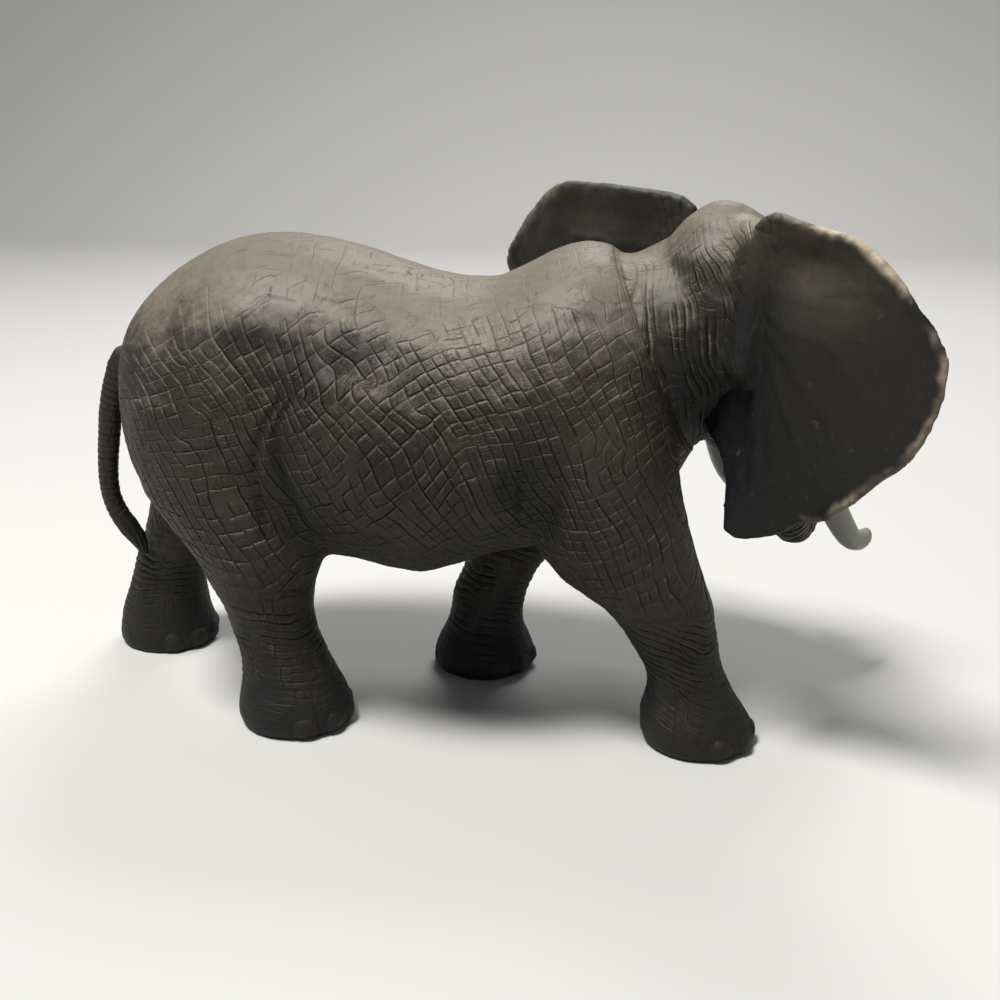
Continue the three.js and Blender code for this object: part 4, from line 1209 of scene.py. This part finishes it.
def sculptTail(piece, s):
    spots, normals = readPoints(piece.data), readNormals(piece.data)
    _, station, offset, _, _ = followPath(spots, tailPath)
    turn = np.arctan2(offset[:, 1], offset[:, 0])
    tuft = ramp(station, *s["tuftFade"])
    rings = bricks(s["radius"] * turn, station + 0.4 * noise(spots, 3, 95), *s["rings"], 96)
    rings *= (1 - tuft) * ramp(station, 2, 6)
    strand = np.abs(np.sin(s["strands"] * turn + 1.3 * noise(spots, 4, 97) + 0.12 * station)) * tuft
    height = s["hairDepth"] * (strand - 0.5 * tuft) - s["ringDepth"] * rings + 0.04 * noise(spots, 1.2, 98)
    writePoints(piece.data, spots + normals * height[:, None])
    addMark(piece.data, "crease", np.maximum(rings, (1 - strand) * tuft * 0.8))
    # painted top light on what faces up
    addMark(piece.data, "wearAndTopLight", 0.5 * ramp(normals[:, 2], 0.3, 1))
    addMark(piece.data, "shade", 0.25 + 0.6 * tuft)


tailSkin = grow("tailSkin", ("tail",), tail)
sculptTail(tailSkin, tail)
finishPiece(tailSkin, "tail", tail["triangles"])
print("tail ready")


# Materials

# Links an output to a socket, or writes a plain value there
def plug(tree, socket, value):
    if hasattr(value, "links"):
        tree.links.new(value, socket)
    else:
        socket.default_value = value


def colorMix(tree, factor, first, second, blend="MIX"):
    node = tree.nodes.new("ShaderNodeMix")
    node.data_type = "RGBA"
    node.blend_type = blend
    for socket, value in (("Factor", factor), ("A", first), ("B", second)):
        plug(tree, node.inputs[socket], value)
    return node.outputs["Result"]


def calculate(tree, operation, *values, clamp=False):
    node = tree.nodes.new("ShaderNodeMath")
    node.operation = operation
    node.use_clamp = clamp
    for socket, value in zip(node.inputs, values):
        plug(tree, socket, value)
    return node.outputs[0]


def product(tree, *values):
    result = values[0]
    for value in values[1:]:
        result = calculate(tree, "MULTIPLY", result, value)
    return result


def spread(tree, value, low, high):
    node = tree.nodes.new("ShaderNodeMapRange")
    node.interpolation_type = "SMOOTHSTEP"
    plug(tree, node.inputs["Value"], value)
    node.inputs["From Min"].default_value = low
    node.inputs["From Max"].default_value = high
    return node.outputs["Result"]


def speckle(tree, vector, scale, detail=3.0, roughness=0.55):
    node = tree.nodes.new("ShaderNodeTexNoise")
    node.inputs["Scale"].default_value = scale
    node.inputs["Detail"].default_value = detail
    node.inputs["Roughness"].default_value = roughness
    plug(tree, node.inputs["Vector"], vector)
    return node.outputs["Fac"]


def uses(tree, group):
    node = tree.nodes.new("ShaderNodeGroup")
    node.node_tree = group
    return node


# A shader group with its sockets, given as side, kind and names
def newGroup(name, *sockets):
    tree = bpy.data.node_groups.new(name, "ShaderNodeTree")
    for side, kind, names in sockets:
        for socket in names:
            tree.interface.new_socket(name=socket, in_out=side, socket_type="NodeSocket" + kind)
    return tree, tree.nodes.new("NodeGroupInput").outputs, tree.nodes.new("NodeGroupOutput").inputs


# Shared effect: painted vinyl with blotches, a dark wash in the creases, and bare paint where it is worn and
# where top light and highlights are painted
def makeAgedVinyl():
    tree, start, end = newGroup(
        "agedVinyl",
        ("INPUT", "Vector", ("Vector",)),
        ("INPUT", "Color", ("Paint", "Second Paint", "Wash", "Bare")),
        ("INPUT", "Float", ("Crease", "Wear And Light", "Mottle", "Dull")),
        ("OUTPUT", "Color", ("Color",)),
        ("OUTPUT", "Float", ("Roughness", "Height")),
    )
    vector = start["Vector"]
    broad = spread(tree, speckle(tree, vector, 55, 4), 0.35, 0.65)
    small = speckle(tree, vector, 420, 4, 0.65)
    fine = speckle(tree, vector, 2200, 2)
    paint = colorMix(tree, product(tree, broad, start["Mottle"]), start["Paint"], start["Second Paint"])
    ragged = calculate(tree, "MULTIPLY_ADD", small, 0.9, -0.45)
    wornAndLitShare = spread(tree, calculate(tree, "ADD", start["Wear And Light"], ragged), 0.08, 0.92)
    rubbedAndLit = colorMix(tree, wornAndLitShare, paint, start["Bare"])
    uneven = calculate(tree, "MULTIPLY_ADD", small, 0.5, 0.75)
    shaded = colorMix(tree, 1, rubbedAndLit, uneven, blend="MULTIPLY")
    plug(tree, end["Color"], colorMix(tree, start["Crease"], shaded, start["Wash"]))
    gloss = calculate(tree, "MULTIPLY_ADD", small, 0.16, -0.08)
    plug(tree, end["Roughness"], calculate(tree, "ADD", start["Dull"], gloss, clamp=True))
    plug(tree, end["Height"], calculate(tree, "MULTIPLY_ADD", fine, 0.35, small))
    return tree


# Shared effect: thin dark lines at the whole numbers of two fields, with their power and pitch
def makeCreaseLines():
    tree, start, end = newGroup(
        "creaseLines",
        ("INPUT", "Float", latticeNames + ("Width",)),
        ("INPUT", "Vector", ("Vector",)),
        ("OUTPUT", "Float", ("Line", "Height", "Rubbed Lit Edge", "Plate")),
    )
    vector = start["Vector"]
    lines, cuts, edges, steps = [], [], [], []
    width = product(tree, start["Width"], calculate(tree, "ADD", speckle(tree, vector, 700, 2), 0.5))
    for family, scale in (("A", 260), ("B", 330)):
        field, power, pitch = (start[kind + family] for kind in ("line", "power", "pitch"))
        # between two main lines runs a finer one, here and there
        between = product(tree, spread(tree, speckle(tree, vector, scale, 1), 0.47, 0.6), 0.55)
        for main, shift, strength, thickness in ((True, 0.5, 1.0, 1.0), (False, 0.0, between, 0.6)):
            moved = calculate(tree, "ADD", field, shift)
            toMiddle = calculate(tree, "SUBTRACT", calculate(tree, "FRACT", moved), 0.5)
            gap = product(tree, calculate(tree, "ABSOLUTE", toMiddle), pitch)
            turn = product(tree, calculate(tree, "FLOOR", moved), 2.4)
            own = calculate(tree, "MULTIPLY_ADD", calculate(tree, "SINE", turn), 0.15, 0.85)
            own = product(tree, own, strength, power)
            share = calculate(tree, "DIVIDE", gap, product(tree, width, thickness))
            lines.append(product(tree, spread(tree, share, 1.0, 0.35), own))
            cuts.append(product(tree, spread(tree, share, 1.7, 0.0), own))
            if main:
                # plates rise towards their upper edge, which is lighter: rubbed paint and a painted
                # highlight
                part = calculate(tree, "FRACT", field)
                rest = calculate(tree, "SUBTRACT", 1.0, part)
                rise, fall = (part, rest) if family == "B" else (rest, part)
                steps.append(product(tree, rise, own, 0.3))
                away = product(tree, fall, pitch)
                inner, outer = spread(tree, away, 0.12, 0.24), spread(tree, away, 0.85, 0.3)
                edges.append(product(tree, inner, outer, own))
    # small uneven cells that lie along the lines, and a tone of its own for every plate
    across, tile = (tree.nodes.new("ShaderNodeCombineXYZ") for _ in range(2))
    for axis, family in (("X", "A"), ("Y", "B")):
        plug(tree, across.inputs[axis], product(tree, start["line" + family], 2.2))
        plug(tree, tile.inputs[axis], calculate(tree, "FLOOR", start["line" + family]))
    cells = tree.nodes.new("ShaderNodeTexVoronoi")
    cells.voronoi_dimensions = "2D"
    cells.feature = "DISTANCE_TO_EDGE"
    cells.inputs["Scale"].default_value = 1
    cells.inputs["Randomness"].default_value = 0.8
    plug(tree, cells.inputs["Vector"], across.outputs["Vector"])
    chance = tree.nodes.new("ShaderNodeTexWhiteNoise")
    chance.noise_dimensions = "2D"
    plug(tree, chance.inputs["Vector"], tile.outputs["Vector"])
    reach = product(tree, cells.outputs["Distance"], start["pitchA"])
    most = calculate(tree, "MAXIMUM", start["powerA"], start["powerB"])
    some = product(tree, most, spread(tree, speckle(tree, vector, 300, 2), 0.4, 0.6))
    lines.append(product(tree, spread(tree, reach, 0.2, 0.04), some, 0.4))
    cuts.append(product(tree, spread(tree, reach, 0.28, 0.0), some, 0.35))
    line, cut = lines[0], cuts[0]
    for more, deeper in zip(lines[1:], cuts[1:]):
        line, cut = calculate(tree, "MAXIMUM", line, more), calculate(tree, "MAXIMUM", cut, deeper)
    plug(tree, end["Line"], line)
    plug(tree, end["Height"], calculate(tree, "SUBTRACT", calculate(tree, "ADD", *steps), cut))
    plug(tree, end["Rubbed Lit Edge"], calculate(tree, "MAXIMUM", *edges))
    plug(tree, end["Plate"], product(tree, chance.outputs["Value"], most))
    return tree


agedVinyl = makeAgedVinyl()
creaseLines = makeCreaseLines()


grainDepth = 0.2 * mm


def newMaterial(name, s):
    material = bpy.data.materials.new(name)
    material.use_nodes = True
    tree = material.node_tree
    shader = tree.nodes["Principled BSDF"]
    shader.inputs["IOR"].default_value = s["IOR"]
    vector = tree.nodes.new("ShaderNodeTexCoord").outputs["Object"]
    paint = uses(tree, agedVinyl)
    plug(tree, paint.inputs["Vector"], vector)
    for socket in ("Paint", "Second Paint", "Wash", "Bare", "Mottle", "Dull"):
        paint.inputs[socket].default_value = s[socket]
    plug(tree, shader.inputs["Base Color"], paint.outputs["Color"])
    plug(tree, shader.inputs["Roughness"], paint.outputs["Roughness"])
    grain = tree.nodes.new("ShaderNodeBump")
    grain.inputs["Strength"].default_value = s["bump"]
    grain.inputs["Distance"].default_value = grainDepth
    plug(tree, grain.inputs["Height"], paint.outputs["Height"])
    plug(tree, shader.inputs["Normal"], grain.outputs["Normal"])
    return material, tree, paint, shader, vector, grain


def markOf(tree, name):
    node = tree.nodes.new("ShaderNodeAttribute")
    node.attribute_name = name
    return node.outputs["Fac"]


skinPaint = {
    "Paint": (0.046, 0.039, 0.029, 1),
    "Second Paint": (0.024, 0.021, 0.017, 1),
    "Wash": (0.005, 0.0045, 0.004, 1),
    # bare vinyl, also the colour of the painted top light
    "Bare": (0.185, 0.166, 0.128, 1),
    "Mottle": 0.9,
    "Dull": 0.5,
    "bump": 0.35,
    "IOR": 1.4,
    "lineWidth": 0.17,
    "lineDepth": 0.45,
    "creaseShare": 0.9,
    # rubbed and painted-highlight upper edges of the plates: more where worn and top-lit, and everywhere
    "rubbedAndLit": (0.25, 0.58),
    "brownShare": 0.8,
    "shadeShare": 0.95,
    "nailShare": 0.15,
    "plateShare": 0.7,
    "shadeDull": 0.15,
    "eyeShine": 0.4,
    "brown": (0.086, 0.066, 0.041, 1),
    "shade": (0.008, 0.0085, 0.01, 1),
    "nail": (0.1, 0.08, 0.055, 1),
    "eye": (0.006, 0.005, 0.004, 1),
}


def paintSkin(s):
    material, tree, paint, shader, vector, grain = newMaterial("skinPaint", s)
    crease, wearAndTopLight, shade, brown, nail, eyeMask = (
        markOf(tree, name) for name in ("crease", "wearAndTopLight", "shade", "brown", "nail", "eye")
    )
    lines = uses(tree, creaseLines)
    for name in latticeNames:
        plug(tree, lines.inputs[name], markOf(tree, name))
    lines.inputs["Width"].default_value = s["lineWidth"]
    plug(tree, lines.inputs["Vector"], vector)
    dark = calculate(tree, "MAXIMUM", lines.outputs["Line"], crease)
    plug(tree, paint.inputs["Crease"], product(tree, dark, s["creaseShare"]))
    # the raised upper edges of the plates are lighter, rubbed paint and a painted highlight, most of all
    # where the paint is worn and top light is painted
    rubbedAndLit = product(tree, lines.outputs["Rubbed Lit Edge"], calculate(tree, "MULTIPLY_ADD", wearAndTopLight, *s["rubbedAndLit"]))
    plug(tree, paint.inputs["Wear And Light"], calculate(tree, "ADD", wearAndTopLight, rubbedAndLit, clamp=True))
    cut = tree.nodes.new("ShaderNodeBump")
    cut.inputs["Distance"].default_value = s["lineDepth"] * mm
    plug(tree, cut.inputs["Height"], lines.outputs["Height"])
    plug(tree, grain.inputs["Normal"], cut.outputs["Normal"])
    base = s["Paint"]
    # brown paint, painted shade, nail colour and a tone for each plate over the paint
    for mask, share, color in (
        (brown, "brownShare", "brown"), (shade, "shadeShare", "shade"), (nail, "nailShare", "nail"),
        (lines.outputs["Plate"], "plateShare", "Second Paint"),
    ):
        base = colorMix(tree, calculate(tree, "MULTIPLY", mask, s[share], clamp=True), base, s[color])
    plug(tree, paint.inputs["Paint"], base)
    plug(tree, paint.inputs["Second Paint"], colorMix(tree, 0.5, base, s["Second Paint"]))
    plug(tree, shader.inputs["Base Color"], colorMix(tree, eyeMask, paint.outputs["Color"], s["eye"]))
    # the eyes shine, the painted shade is dull
    shine = product(tree, eyeMask, s["eyeShine"])
    dull = calculate(tree, "SUBTRACT", product(tree, shade, s["shadeDull"]), shine)
    rough = calculate(tree, "ADD", paint.outputs["Roughness"], dull, clamp=True)
    plug(tree, shader.inputs["Roughness"], rough)
    return material


earPaint = {
    "Paint": (0.02, 0.0185, 0.015, 1),
    "Second Paint": (0.03, 0.027, 0.021, 1),
    "Wash": (0.006, 0.006, 0.007, 1),
    "Bare": (0.52, 0.43, 0.32, 1),
    "Mottle": 0.8,
    "Dull": 0.54,
    "bump": 0.12,
    "IOR": 1.36,
    "shadeShare": 0.9,
    "shade": (0.003, 0.004, 0.0055, 1),
    # colour of the painted highlight on the near ear
    "earHighlight": (0.13, 0.115, 0.085, 1),
    # lighter, cooler colour of the far ear, painted light
    "farEarLit": (0.09, 0.088, 0.078, 1),
}


def paintEar(s):
    material, tree, paint, *_ = newMaterial("earPaint", s)
    plug(tree, paint.inputs["Crease"], markOf(tree, "crease"))
    base = s["Paint"]
    for mark, share in (("earHighlight", 1), ("farEarLit", 1), ("shade", s["shadeShare"])):
        base = colorMix(tree, product(tree, markOf(tree, mark), share), base, s[mark])
    bare = colorMix(tree, markOf(tree, "worn"), base, s["Bare"])
    for socket in ("Paint", "Second Paint"):
        plug(tree, paint.inputs[socket], bare)
    return material


tuskPaint = {
    "Paint": (0.46, 0.455, 0.37, 1),
    "Second Paint": (0.39, 0.4, 0.33, 1),
    "Wash": (0.2, 0.17, 0.11, 1),
    "Bare": (0.7, 0.7, 0.62, 1),
    "Mottle": 0.6,
    "Dull": 0.36,
    "bump": 0.08,
    "IOR": 1.46,
    "rootShare": 0.6,
}


def paintTusk(s):
    material, tree, paint, *_ = newMaterial("tuskPaint", s)
    plug(tree, paint.inputs["Crease"], product(tree, markOf(tree, "root"), s["rootShare"]))
    return material


for pieces, material in (
    (skins + [tailSkin], paintSkin(skinPaint)), (earSkins, paintEar(earPaint)), (tusks, paintTusk(tuskPaint))
):
    for piece in pieces:
        piece.data.materials.clear()
        piece.data.materials.append(material)
print("paint ready")
